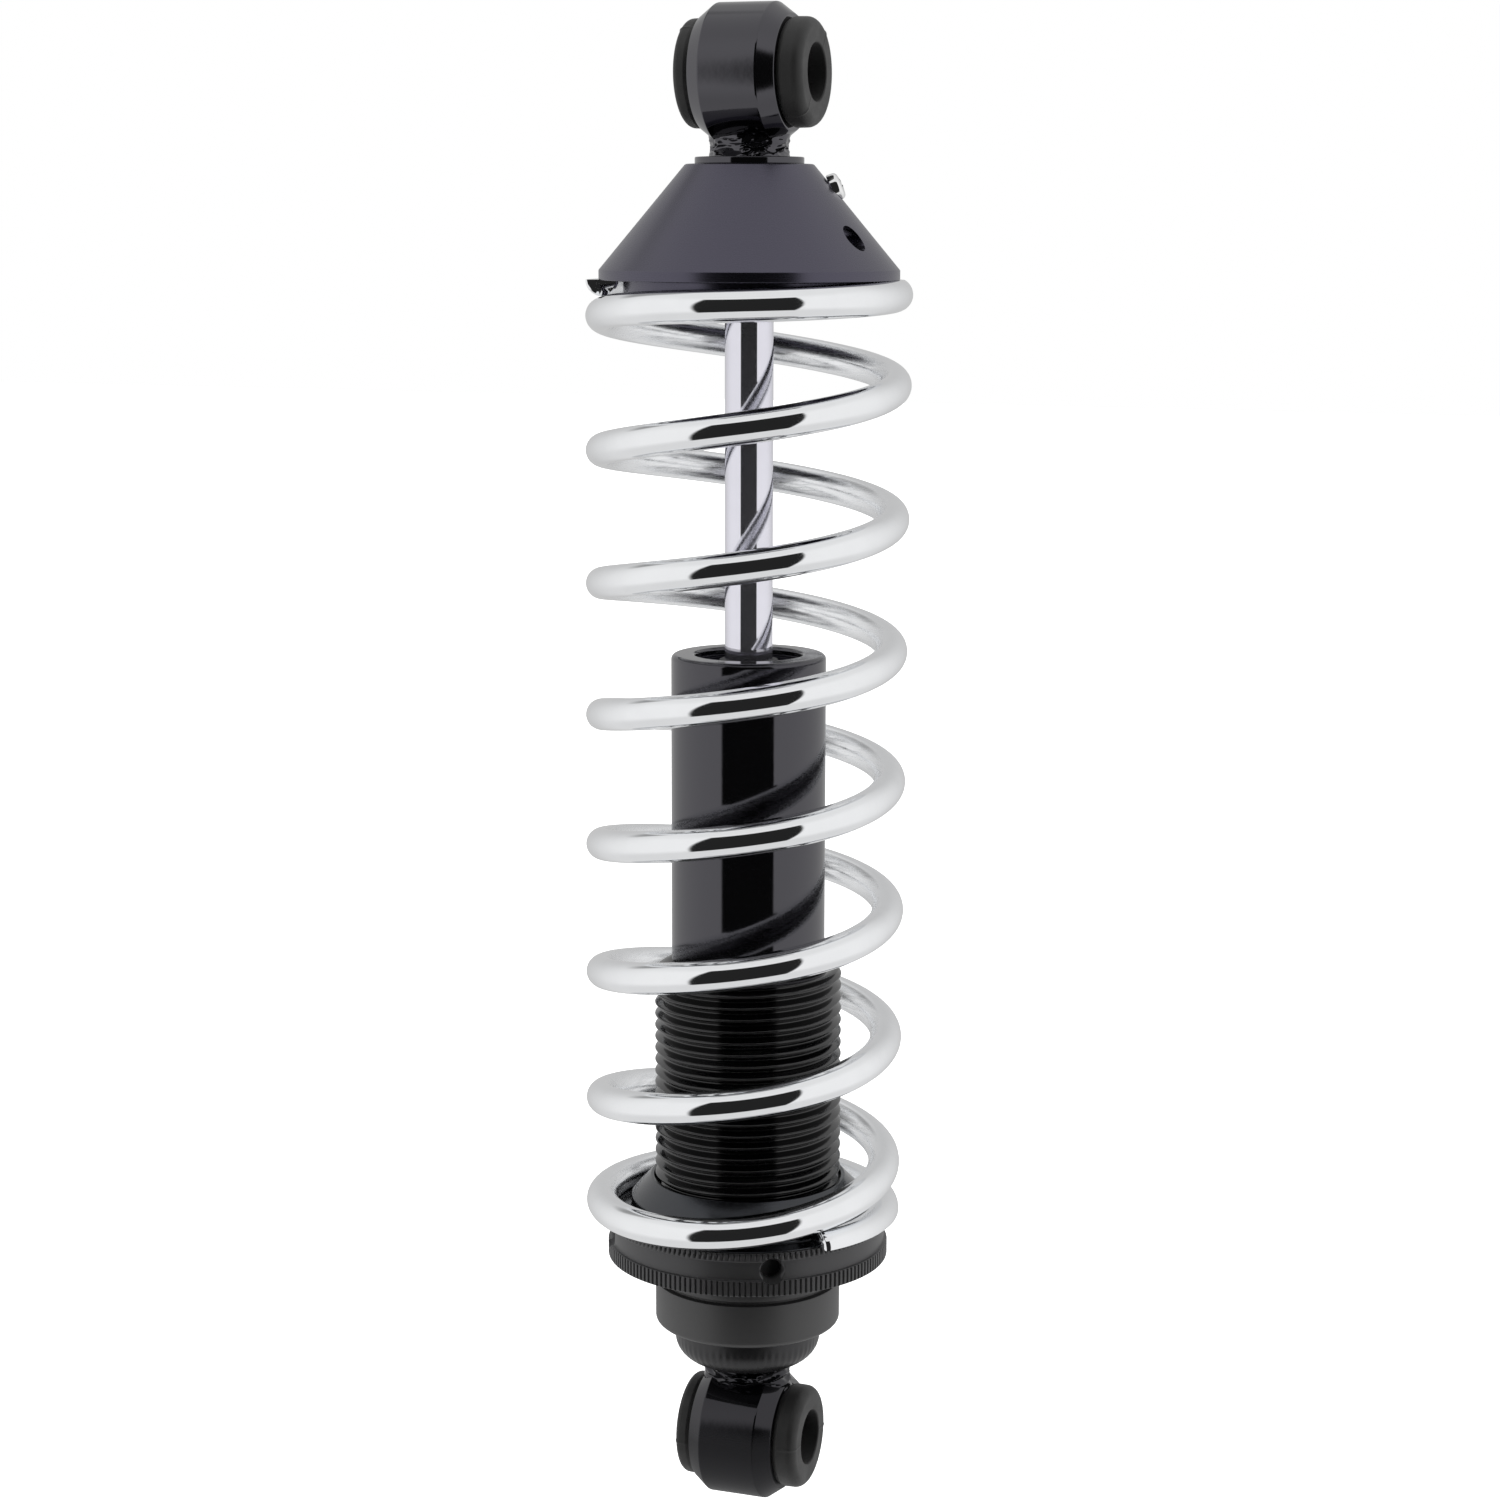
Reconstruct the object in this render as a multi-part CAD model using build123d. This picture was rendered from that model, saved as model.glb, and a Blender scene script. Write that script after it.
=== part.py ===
from build123d import *
import math
import os

# Rear shock absorber, millimetres. The origin is the centre of the lower eye, +Z points along the
# damper to the upper eye and +X runs along the bores of both eyes.

# ---- driving dimensions ---------------------------------------------------------------------
EYE_TO_EYE = 347.0
STROKE = 83.0
GAP = 0.05                    # radial gap of parts that only sit in each other
RUN_GAP = 0.04                # radial gap of parts that slide on each other
OVERCUT = 1.0                 # length by which a cutter passes the face it opens

# eyes and their bushes
EYE_RADIUS = 16.9
EYE_WIDTH = 22.4
EYE_CHAMFER = 3.3
EYE_BORE = 11.5
BUSH_LENGTH = 33.0            # over both shoulders
BUSH_BORE = 7.0
BUSH_SHOULDER = 13.2
BUSH_ROUNDING = 3.4
BUSH_SPLIT_GAP = 0.2          # between the two halves of a bush pair
UPPER_NECK_RADIUS = 9.25
LOWER_NECK_RADIUS = 10.8

# spring
WIRE_RADIUS = 4.0
SPRING_RADIUS = 36.25         # to the middle of the wire
SPRING_BOTTOM = 60.1
SPRING_TOP = 297.3
SPRING_TURNS = 8.66
SPRING_START_DEG = -38.0
CLOSED_PITCH_BOTTOM = 4.6
CLOSED_PITCH_TOP = 6.93
CLOSED_TURNS_BOTTOM = 0.875
CLOSED_TURNS_TOP = 0.925
PITCH_CHANGE_TURNS = 0.25     # length over which a closed coil opens to the full pitch
SPRING_SHIFT = 1.3            # the loose lower end rests against one side of its spigot
SPRING_SHIFT_DEG = 200.0
SPRING_POINTS_PER_TURN = 24

# upper spring cap and the parts inside it
CAP_TOP = 325.25
CAP_TOP_RADIUS = 15.7
CAP_TOP_CHAMFER = 0.6
CAP_RIM_RADIUS = 37.0
CAP_RIM_TOP = 299.7
CAP_SPIGOT_RADIUS = 31.0
CAP_SPIGOT_BOTTOM = 293.0
CAP_SPIGOT_CHAMFER = 0.8
CAP_HOLLOW_RADIUS = 27.0
CAP_HUB_RADIUS = 19.0
CAP_HUB_BOTTOM = 310.5
CAP_HOLE_RADIUS = 3.0
CAP_HOLE_Z = 307.5
CAP_HOLE_DEG = -14.5
CAP_HOLE_START = 15.0         # distance from the axis where the spanner hole begins
CAP_SEAM_DEG = 120.0          # turns the cap's seam away from its two holes
FLANGE_RADIUS = 13.4
FLANGE_THICKNESS = 1.7
STEM_RADIUS = 10.0
STEM_BOTTOM = 303.5
LOCK_NUT_HEIGHT = 6.0
LOCK_NUT_FLATS = 17.0
BUMP_WASHER_THICKNESS = 2.0
BUMP_WASHER_RADIUS = 14.0
BUMP_STOP_RADIUS = 13.0
BUMP_STOP_ROUNDING = 2.0
BUMP_STOP_CLEARANCE = 0.3     # to the tube at the end of the stroke

# cap lock screw
SCREW_DEG = 16.0
SCREW_TILT_DEG = 25.0
SCREW_Z = 319.5
SCREW_SINK = 0.5
SCREW_RADIUS = 2.0
SCREW_LENGTH = 10.2
SCREW_POINT_CHAMFER = 0.5
SCREW_HEAD_RADIUS = 3.5
SCREW_HEAD_HEIGHT = 3.0
SCREW_HEAD_ROUNDING = 1.8
SCREW_FACE_RADIUS = 3.9       # flat in the cap that the head sits on
SCREW_FACE_DEPTH = 8.0
RECESS_WIDTH = 1.0
RECESS_SPAN = 3.8
RECESS_DEPTH = 1.4

# rod, piston and valve parts
ROD_RADIUS = 6.0
ROD_THREAD_RADIUS = 5.0
ROD_THREAD_TOP = 320.5
ROD_SHOULDER = 171.5
ROD_END = 150.8
ROD_STUD_RADIUS = 4.0
PISTON_TOP = 170.5
PISTON_HEIGHT = 12.0
PISTON_RADIUS = 16.9
PISTON_PORTS = 6
PISTON_PORT_RADIUS = 1.6
PISTON_PORT_CIRCLE = 10.5
BAND_HEIGHT = 6.0
BAND_THICKNESS = 0.9
SHIM_THICKNESS = 0.3
SHIM_GAP = 0.02
SHIM_RADII = (13.0, 11.0, 9.0)
PISTON_NUT_HEIGHT = 6.0
PISTON_NUT_FLATS = 13.0
TOP_OUT_RADIUS = 10.5
TOP_OUT_BOTTOM = 171.9
TOP_OUT_TOP = 182.3

# damper tube and seal head
TUBE_RADIUS = 19.45
TUBE_BORE = 17.0
TUBE_TOP = 204.7
TUBE_BOTTOM = 32.5
LIP_THICKNESS = 2.2
LIP_OPENING = 13.4
LIP_ROUNDING = 1.2
HEAD_BOTTOM = 182.5
HEAD_ROD_GAP = 0.4
HEAD_RECESS_RADIUS = 12.0
HEAD_RECESS_DEPTH = 1.5
WIPER_POCKET_RADIUS = 8.4
WIPER_POCKET_BOTTOM = 196.5
WIPER_STEP = 0.4              # the wiper's body ends this far below the seal head's top
WIPER_STEP_RADIUS = 7.5
WIPER_LIP_RADIUS = 7.2
WIPER_LIP_HEIGHT = 0.8        # above the seal head's top
WIPER_TIP_HEIGHT = 1.1
GUIDE_POCKET_RADIUS = 7.6
GUIDE_POCKET_BOTTOM = 189.0
GUIDE_POCKET_TOP = 195.9
SEAL_POCKET_RADIUS = 9.5
SEAL_POCKET_TOP = 188.5
ORING_RADIUS = 0.9
ORING_CIRCLE = 16.05
ORING_GROOVE_HEIGHT = 2.6
HEAD_ORING_Z = 192.5

# gas chamber
FLOAT_TOP = 76.5
FLOAT_HEIGHT = 12.0
FLOAT_RADIUS = 16.95
FLOAT_WALL = 5.0
FLOAT_HOLLOW = 6.0
FLOAT_ORING_DEPTH = 4.0

# base cap
BASE_RADIUS = 18.75
BASE_FOOT_RADIUS = 11.4
BASE_BOTTOM = 19.8
BASE_BULGE_RADIUS = 16.9      # the bowl's wall passes through this radius and height
BASE_BULGE_Z = 22.4
BASE_BOWL_TOP = 26.5
BASE_SPIGOT_TOP = 44.5
BASE_ORING_Z = 38.5
EYE_STUD_RADIUS = 8.0
EYE_STUD_TOP = 36.5
EYE_STUD_END_GAP = 0.5

# threaded sleeve, its stop ring, the preload collar and the seat
SLEEVE_RADIUS = 23.8
SLEEVE_BORE = 19.55
SLEEVE_TOP = 124.5
SLEEVE_BOTTOM = 30.5
SLEEVE_ROUNDING = 2.0
THREAD_PITCH = 3.0
THREAD_DEPTH = 1.0
THREAD_CREST = 2.2            # groove width at the surface and at its root
THREAD_ROOT = 0.8
THREAD_START = 46.7
THREAD_RUNOUT = 2.0           # plain length left at the top of the sleeve
RIDGE_DEPTH = 0.85            # the collar's thread, a little smaller than the groove
RIDGE_CREST = 1.9
RIDGE_ROOT = 0.5
RIDGE_TURNS = 2.3
SECTION_OVERLAP = 0.4         # a thread section passes the surface by this much
STOP_RING_BOTTOM = 34.5
STOP_RING_HEIGHT = 1.6
STOP_RING_RADIUS = 20.5
STOP_RING_STEP_GAP = 0.3
STOP_RING_GROOVE = 18.6
STOP_RING_OPENING = 8.0
COLLAR_RADIUS = 36.0
COLLAR_BOTTOM = 48.7
COLLAR_BAND_TOP = 52.7
COLLAR_GROOVE_TOP = 57.7
COLLAR_GROOVE_RADIUS = 35.2
COLLAR_TOP = 59.9
COLLAR_BORE = 23.9
COLLAR_SEAT_GAP = 0.1
KNURL_TEETH = 180
KNURL_DEPTH = 0.45
KNURL_EDGE = 0.4
SPANNER_HOLE_RADIUS = 3.0
SPANNER_HOLE_DEPTH = 5.0
SPANNER_HOLE_Z = 55.2
SPANNER_HOLE_ANGLES = (-60.0, 30.0, 120.0, 210.0)
SEAT_FLANGE_RADIUS = 35.0
SEAT_FLANGE_THICKNESS = 1.2
SEAT_SPIGOT_RADIUS = 30.0
SEAT_SPIGOT_TOP = 64.4
SEAT_SPIGOT_ROUNDING = 0.8
SEAT_TOP = 69.6
SEAT_TOP_RADIUS = 24.9
SEAT_BORE = 24.05

# ---- worked out from the driving dimensions -------------------------------------------------
PISTON_BOTTOM = PISTON_TOP - PISTON_HEIGHT
SHIM_STACK = SHIM_THICKNESS * len(SHIM_RADII)
ROD_THREAD_BOTTOM = STEM_BOTTOM - LOCK_NUT_HEIGHT
BUMP_STOP_BOTTOM = TUBE_TOP + STROKE + BUMP_STOP_CLEARANCE
HEAD_TOP = TUBE_TOP - LIP_THICKNESS
SEAT_BOTTOM = SPRING_BOTTOM - SEAT_FLANGE_THICKNESS
FLOAT_BOTTOM = FLOAT_TOP - FLOAT_HEIGHT
FLOAT_ORING_Z = FLOAT_TOP - FLOAT_ORING_DEPTH
UP = (Align.CENTER, Align.CENTER, Align.MIN)
DOWN = (Align.CENTER, Align.CENTER, Align.MAX)


# ---- helpers --------------------------------------------------------------------------------
def turned(*corners):
    """Solid of revolution about Z through (radius, height) corners."""
    outline = Plane.XZ * Polyline(*corners, close=True)
    return revolve(make_face(outline), Axis.Z)


def disc(radius, bottom, top):
    """Plain cylinder on Z between two heights."""
    base = Pos(0, 0, bottom)
    return base * Cylinder(radius, top - bottom, align=UP)


def tube(outer, inner, bottom, top):
    """Plain ring on Z between two heights."""
    return disc(outer, bottom, top) - disc(inner, bottom - OVERCUT, top + OVERCUT)


def hexagon(flats, bottom, top):
    """Hexagonal prism on Z with corners eased by a chamfering cone at both ends."""
    height = top - bottom
    prism = Pos(0, 0, bottom) * extrude(RegularPolygon(flats / 2, 6, major_radius=False), height)
    corner = flats / math.sqrt(3)
    ease = corner - flats / 2
    barrel = turned(
        (0, bottom), (flats / 2, bottom), (corner, bottom + ease / 2),
        (corner, top - ease / 2), (flats / 2, top), (0, top),
    )
    return prism & barrel


def circles_at(part, z, radius):
    """Circular edges about Z at one height and radius."""
    found = []
    for edge in part.edges().filter_by(GeomType.CIRCLE):
        centre = edge.arc_center
        on_axis = abs(centre.X) + abs(centre.Y) < 1e-3
        if on_axis and abs(centre.Z - z) < 1e-3 and abs(edge.radius - radius) < 1e-3:
            found.append(edge)
    return found


def oring(z):
    """O-ring that lies in an outer groove and stays just inside the tube bore."""
    return Pos(0, 0, z) * Torus(ORING_CIRCLE, ORING_RADIUS)


def oring_groove(z, outer):
    """Cutter for the outer groove that an O-ring lies in."""
    half = ORING_GROOVE_HEIGHT / 2
    return tube(outer + OVERCUT, ORING_CIRCLE - ORING_RADIUS - GAP, z - half, z + half)


def radial_hole(radius, z, angle, inner, outer):
    """Cutter for a level hole that points away from the axis."""
    rod = Cylinder(radius, outer - inner, align=UP)
    return Rot(0, 0, angle) * Pos(inner, 0, z) * Rot(0, 90, 0) * rod


def cone_radius(z):
    """Outer radius of the cap's cone at a height."""
    share = (CAP_TOP - z) / (CAP_TOP - CAP_RIM_TOP)
    return CAP_TOP_RADIUS + share * (CAP_RIM_RADIUS - CAP_TOP_RADIUS)


# ---- eyes and bushes ------------------------------------------------------------------------
def eye_ring(z):
    """Chamfered ring of an eye, its bore along X."""
    ring = Rot(0, 90, 0) * Cylinder(EYE_RADIUS, EYE_WIDTH)
    ring = chamfer(ring.edges().filter_by(GeomType.CIRCLE), EYE_CHAMFER)
    return Pos(0, 0, z) * ring


def eye_bore(z):
    """Cutter for the bore of an eye."""
    return Pos(0, 0, z) * Rot(0, 90, 0) * Cylinder(EYE_BORE, EYE_WIDTH + 2 * OVERCUT)


def upper_eye():
    """Ring, neck, flange and the stem that the cap and the rod join to, one welded piece."""
    flange_top = CAP_TOP + FLANGE_THICKNESS
    neck_end = EYE_TO_EYE - EYE_RADIUS + EYE_CHAMFER
    eye = eye_ring(EYE_TO_EYE) + disc(UPPER_NECK_RADIUS, CAP_TOP, neck_end)
    eye += disc(FLANGE_RADIUS, CAP_TOP, flange_top)
    eye += disc(STEM_RADIUS, STEM_BOTTOM, CAP_TOP)
    eye -= disc(ROD_THREAD_RADIUS, STEM_BOTTOM - OVERCUT, ROD_THREAD_TOP + EYE_STUD_END_GAP)
    return eye - eye_bore(EYE_TO_EYE)


def lower_eye():
    """Ring, neck and the stud that goes up into the base cap, one welded piece."""
    eye = eye_ring(0) + disc(LOWER_NECK_RADIUS, EYE_RADIUS - EYE_CHAMFER, BASE_BOTTOM)
    eye += disc(EYE_STUD_RADIUS, BASE_BOTTOM, EYE_STUD_TOP)
    return eye - eye_bore(0)


def bush_half(z, side):
    """Half of a rubber bush pair: a sleeve inside the eye and a rounded shoulder outside it."""
    inner = BUSH_SPLIT_GAP / 2
    face = EYE_WIDTH / 2
    end = BUSH_LENGTH / 2
    bush = turned(
        (BUSH_BORE, inner), (EYE_BORE - GAP, inner), (EYE_BORE - GAP, face),
        (BUSH_SHOULDER, face), (BUSH_SHOULDER, end), (BUSH_BORE, end),
    )
    bush = fillet(circles_at(bush, end, BUSH_SHOULDER), BUSH_ROUNDING)
    return Pos(0, 0, z) * Rot(0, 90 * side, 0) * bush


# ---- upper spring cap, screw and the parts inside it ------------------------------------------
def screw_plane():
    """Plane of the screw head's seat, its normal along the screw and out of the cap."""
    turn = math.radians(SCREW_DEG)
    tilt = math.radians(SCREW_TILT_DEG)
    out = Vector(math.cos(turn), math.sin(turn), 0)
    normal = out * math.cos(tilt) + Vector(0, 0, math.sin(tilt))
    seat = out * cone_radius(SCREW_Z) + Vector(0, 0, SCREW_Z) - normal * SCREW_SINK
    return Plane(origin=seat, z_dir=normal)


def upper_spring_cap():
    """Conical cap with a hub on the stem, a spigot inside the spring and a spanner hole."""
    cap = turned(
        (STEM_RADIUS + GAP, CAP_TOP), (CAP_TOP_RADIUS, CAP_TOP), (CAP_RIM_RADIUS, CAP_RIM_TOP),
        (CAP_RIM_RADIUS, SPRING_TOP), (CAP_SPIGOT_RADIUS, SPRING_TOP),
        (CAP_SPIGOT_RADIUS, CAP_SPIGOT_BOTTOM), (CAP_HOLLOW_RADIUS, CAP_SPIGOT_BOTTOM),
        (CAP_HOLLOW_RADIUS, CAP_RIM_TOP), (CAP_HUB_RADIUS, CAP_HUB_BOTTOM),
        (STEM_RADIUS + GAP, CAP_HUB_BOTTOM),
    )
    cap = chamfer(circles_at(cap, CAP_TOP, CAP_TOP_RADIUS), CAP_TOP_CHAMFER)
    cap = chamfer(circles_at(cap, CAP_SPIGOT_BOTTOM, CAP_SPIGOT_RADIUS), CAP_SPIGOT_CHAMFER)
    cap = Rot(0, 0, CAP_SEAM_DEG) * cap
    cap -= radial_hole(
        CAP_HOLE_RADIUS, CAP_HOLE_Z, CAP_HOLE_DEG, CAP_HOLE_START, CAP_RIM_RADIUS
    )
    cap -= screw_plane() * Cylinder(SCREW_FACE_RADIUS, SCREW_FACE_DEPTH, align=UP)
    return cap - screw_plane() * Cylinder(SCREW_RADIUS + GAP, 2 * SCREW_LENGTH, align=DOWN)


def cap_lock_screw():
    """Pan head screw with a cross recess that locks the cap on the stem."""
    head = Cylinder(SCREW_HEAD_RADIUS, SCREW_HEAD_HEIGHT, align=UP)
    head = fillet(head.edges().sort_by(Axis.Z)[-1], SCREW_HEAD_ROUNDING)
    arm = Box(RECESS_WIDTH, RECESS_SPAN, RECESS_DEPTH, align=DOWN)
    recess = Pos(0, 0, SCREW_HEAD_HEIGHT) * (arm + Rot(0, 0, 90) * arm)
    shank = Cylinder(SCREW_RADIUS, SCREW_LENGTH, align=DOWN)
    shank = chamfer(shank.edges().sort_by(Axis.Z)[0], SCREW_POINT_CHAMFER)
    return screw_plane() * (head + shank - recess)


def rod_lock_nut():
    """Hexagon nut that locks the upper eye on the rod."""
    nut = hexagon(LOCK_NUT_FLATS, ROD_THREAD_BOTTOM, STEM_BOTTOM)
    return nut - disc(ROD_THREAD_RADIUS, ROD_THREAD_BOTTOM - OVERCUT, STEM_BOTTOM + OVERCUT)


def bump_washer():
    """Flat washer between the lock nut and the bump stop."""
    bottom = ROD_THREAD_BOTTOM - BUMP_WASHER_THICKNESS
    return tube(BUMP_WASHER_RADIUS, ROD_RADIUS + GAP, bottom, ROD_THREAD_BOTTOM)


def bump_stop():
    """Rubber ring on the rod that meets the tube at the end of the stroke."""
    top = ROD_THREAD_BOTTOM - BUMP_WASHER_THICKNESS
    stop = tube(BUMP_STOP_RADIUS, ROD_RADIUS + GAP, BUMP_STOP_BOTTOM, top)
    return fillet(circles_at(stop, BUMP_STOP_BOTTOM, BUMP_STOP_RADIUS), BUMP_STOP_ROUNDING)


# ---- rod, piston and valves ---------------------------------------------------------------------
def piston_rod():
    """Rod with a threaded end for the upper eye and a stud for the piston."""
    return turned(
        (0, ROD_END), (ROD_STUD_RADIUS, ROD_END), (ROD_STUD_RADIUS, ROD_SHOULDER),
        (ROD_RADIUS, ROD_SHOULDER), (ROD_RADIUS, ROD_THREAD_BOTTOM),
        (ROD_THREAD_RADIUS - GAP, ROD_THREAD_BOTTOM), (ROD_THREAD_RADIUS - GAP, ROD_THREAD_TOP),
        (0, ROD_THREAD_TOP),
    )


def top_out_bumper():
    """Rubber ring that cushions the piston against the seal head."""
    return tube(TOP_OUT_RADIUS, ROD_RADIUS + GAP, TOP_OUT_BOTTOM, TOP_OUT_TOP)


def piston():
    """Piston with oil ports and a groove for its band."""
    body = tube(PISTON_RADIUS, ROD_STUD_RADIUS + GAP, PISTON_BOTTOM, PISTON_TOP)
    middle = (PISTON_TOP + PISTON_BOTTOM) / 2
    low = middle - BAND_HEIGHT / 2
    high = middle + BAND_HEIGHT / 2
    body -= tube(PISTON_RADIUS + OVERCUT, PISTON_RADIUS - BAND_THICKNESS - GAP, low, high)
    port = Pos(PISTON_PORT_CIRCLE, 0, middle) * Cylinder(PISTON_PORT_RADIUS, 2 * PISTON_HEIGHT)
    for index in range(PISTON_PORTS):
        body -= Rot(0, 0, index * 360 / PISTON_PORTS) * port
    return body


def piston_band():
    """Low-friction band that guides the piston in the tube."""
    middle = (PISTON_TOP + PISTON_BOTTOM) / 2
    half = BAND_HEIGHT / 2 - GAP
    outer = TUBE_BORE - RUN_GAP
    return tube(outer, PISTON_RADIUS - BAND_THICKNESS, middle - half, middle + half)


def shim_stack(start, direction):
    """Thin discs stacked away from a piston face, the widest against the piston."""
    discs = []
    for index, radius in enumerate(SHIM_RADII):
        near = start + direction * index * SHIM_THICKNESS
        far = near + direction * (SHIM_THICKNESS - SHIM_GAP)
        discs.append(tube(radius, ROD_STUD_RADIUS + GAP, min(near, far), max(near, far)))
    return Compound(children=discs)


def piston_nut():
    """Hexagon nut that clamps the piston and the shims on the rod."""
    top = PISTON_BOTTOM - SHIM_STACK
    bottom = top - PISTON_NUT_HEIGHT
    bore = disc(ROD_STUD_RADIUS + GAP, bottom - OVERCUT, top + OVERCUT)
    return hexagon(PISTON_NUT_FLATS, bottom, top) - bore


# ---- damper tube and seal head ------------------------------------------------------------------
def damper_tube():
    """Tube with a rolled-in lip at the top and a groove near the bottom for the stop ring."""
    shell = turned(
        (TUBE_BORE, TUBE_BOTTOM), (TUBE_RADIUS, TUBE_BOTTOM), (TUBE_RADIUS, TUBE_TOP),
        (LIP_OPENING, TUBE_TOP), (LIP_OPENING, HEAD_TOP), (TUBE_BORE, HEAD_TOP),
    )
    shell = fillet(circles_at(shell, TUBE_TOP, TUBE_RADIUS), LIP_ROUNDING)
    shell = fillet(circles_at(shell, TUBE_TOP, LIP_OPENING), LIP_ROUNDING / 2)
    low = STOP_RING_BOTTOM - GAP
    high = STOP_RING_BOTTOM + STOP_RING_HEIGHT
    return shell - tube(TUBE_RADIUS + OVERCUT, STOP_RING_GROOVE, low, high)


def seal_head():
    """Seal head under the lip with pockets for the wiper, the guide bush and the rod seal."""
    below = HEAD_BOTTOM - OVERCUT
    above = HEAD_TOP + OVERCUT
    body = disc(TUBE_BORE - GAP, HEAD_BOTTOM, HEAD_TOP)
    body -= disc(HEAD_RECESS_RADIUS, HEAD_TOP - HEAD_RECESS_DEPTH, above)
    body -= disc(ROD_RADIUS + HEAD_ROD_GAP, below, above)
    body -= disc(WIPER_POCKET_RADIUS, WIPER_POCKET_BOTTOM, above)
    body -= disc(GUIDE_POCKET_RADIUS, GUIDE_POCKET_BOTTOM, GUIDE_POCKET_TOP)
    body -= disc(SEAL_POCKET_RADIUS, below, SEAL_POCKET_TOP)
    return body - oring_groove(HEAD_ORING_Z, TUBE_BORE)


def wiper_seal():
    """Rubber wiper with a raised lip around the rod."""
    bottom = WIPER_POCKET_BOTTOM + GAP
    step = HEAD_TOP - WIPER_STEP
    inner = ROD_RADIUS + RUN_GAP
    outer = WIPER_POCKET_RADIUS - GAP
    return turned(
        (inner, bottom), (outer, bottom), (outer, step), (WIPER_STEP_RADIUS, step),
        (WIPER_LIP_RADIUS, HEAD_TOP + WIPER_LIP_HEIGHT), (inner, HEAD_TOP + WIPER_TIP_HEIGHT),
    )


def guide_bush():
    """Plain bearing for the rod."""
    bottom = GUIDE_POCKET_BOTTOM + GAP
    top = GUIDE_POCKET_TOP - GAP
    return tube(GUIDE_POCKET_RADIUS - GAP, ROD_RADIUS + RUN_GAP, bottom, top)


def rod_seal():
    """Oil seal on the rod."""
    bottom = HEAD_BOTTOM + GAP
    top = SEAL_POCKET_TOP - GAP
    return tube(SEAL_POCKET_RADIUS - GAP, ROD_RADIUS + RUN_GAP, bottom, top)


# ---- gas chamber and base cap -------------------------------------------------------------------
def floating_piston():
    """Cup that parts the oil from the gas below it."""
    cup = disc(FLOAT_RADIUS, FLOAT_BOTTOM, FLOAT_TOP)
    cup -= disc(FLOAT_RADIUS - FLOAT_WALL, FLOAT_BOTTOM - OVERCUT, FLOAT_BOTTOM + FLOAT_HOLLOW)
    return cup - oring_groove(FLOAT_ORING_Z, FLOAT_RADIUS)


def base_cap():
    """End cap with a rounded bowl below and a sealed spigot inside the tube."""
    arc_start = (BASE_FOOT_RADIUS, BASE_BOTTOM)
    arc_middle = (BASE_BULGE_RADIUS, BASE_BULGE_Z)
    arc_end = (BASE_RADIUS, BASE_BOWL_TOP)
    spigot = TUBE_BORE - GAP
    outline = Polyline((0, BASE_BOTTOM), arc_start)
    outline += ThreePointArc(arc_start, arc_middle, arc_end)
    outline += Polyline(
        arc_end, (BASE_RADIUS, TUBE_BOTTOM), (spigot, TUBE_BOTTOM), (spigot, BASE_SPIGOT_TOP),
        (0, BASE_SPIGOT_TOP), (0, BASE_BOTTOM),
    )
    body = revolve(make_face(Plane.XZ * outline), Axis.Z)
    body -= disc(EYE_STUD_RADIUS + GAP, BASE_BOTTOM - OVERCUT, EYE_STUD_TOP + EYE_STUD_END_GAP)
    return body - oring_groove(BASE_ORING_Z, TUBE_BORE)


# ---- sleeve, collar and seat --------------------------------------------------------------------
def thread_form(radius, depth, crest, root):
    """Thread section at the start of the helix: wide at the surface, narrow at the depth."""
    out = SECTION_OVERLAP
    corners = [(out, crest / 2), (-depth, root / 2), (-depth, -root / 2), (out, -crest / 2)]
    return Pos(radius, 0, 0) * Plane.XZ * make_face(Polyline(*corners, close=True))


def helical_bar(start, height, form):
    """Bar of one section that follows the sleeve's right-hand thread."""
    path = Helix(THREAD_PITCH, height, SLEEVE_RADIUS)
    return Pos(0, 0, start) * sweep(form, path=path, is_frenet=True)


def threaded_sleeve():
    """Sleeve over the tube with a right-hand thread, plain at the bottom."""
    step = STOP_RING_BOTTOM + STOP_RING_HEIGHT
    body = disc(SLEEVE_RADIUS, SLEEVE_BOTTOM, SLEEVE_TOP)
    body = fillet(circles_at(body, SLEEVE_BOTTOM, SLEEVE_RADIUS), SLEEVE_ROUNDING)
    body = chamfer(circles_at(body, SLEEVE_TOP, SLEEVE_RADIUS), THREAD_DEPTH)
    body -= disc(SLEEVE_BORE, SLEEVE_BOTTOM - OVERCUT, SLEEVE_TOP + OVERCUT)
    body -= disc(STOP_RING_RADIUS + STOP_RING_STEP_GAP, SLEEVE_BOTTOM - OVERCUT, step)
    groove = thread_form(SLEEVE_RADIUS, THREAD_DEPTH, THREAD_CREST, THREAD_ROOT)
    turns = math.floor((SLEEVE_TOP - THREAD_START - THREAD_RUNOUT) / THREAD_PITCH)
    return body - helical_bar(THREAD_START, turns * THREAD_PITCH, groove)


def sleeve_stop_ring():
    """Open ring in the tube's groove that carries the sleeve."""
    top = STOP_RING_BOTTOM + STOP_RING_HEIGHT
    ring = tube(STOP_RING_RADIUS, STOP_RING_GROOVE + GAP, STOP_RING_BOTTOM, top)
    width = 2 * (STOP_RING_RADIUS - STOP_RING_GROOVE + OVERCUT)
    height = 2 * (STOP_RING_HEIGHT + OVERCUT)
    opening = Box(STOP_RING_OPENING, width, height)
    return ring - Pos(0, STOP_RING_RADIUS, STOP_RING_BOTTOM) * opening


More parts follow.
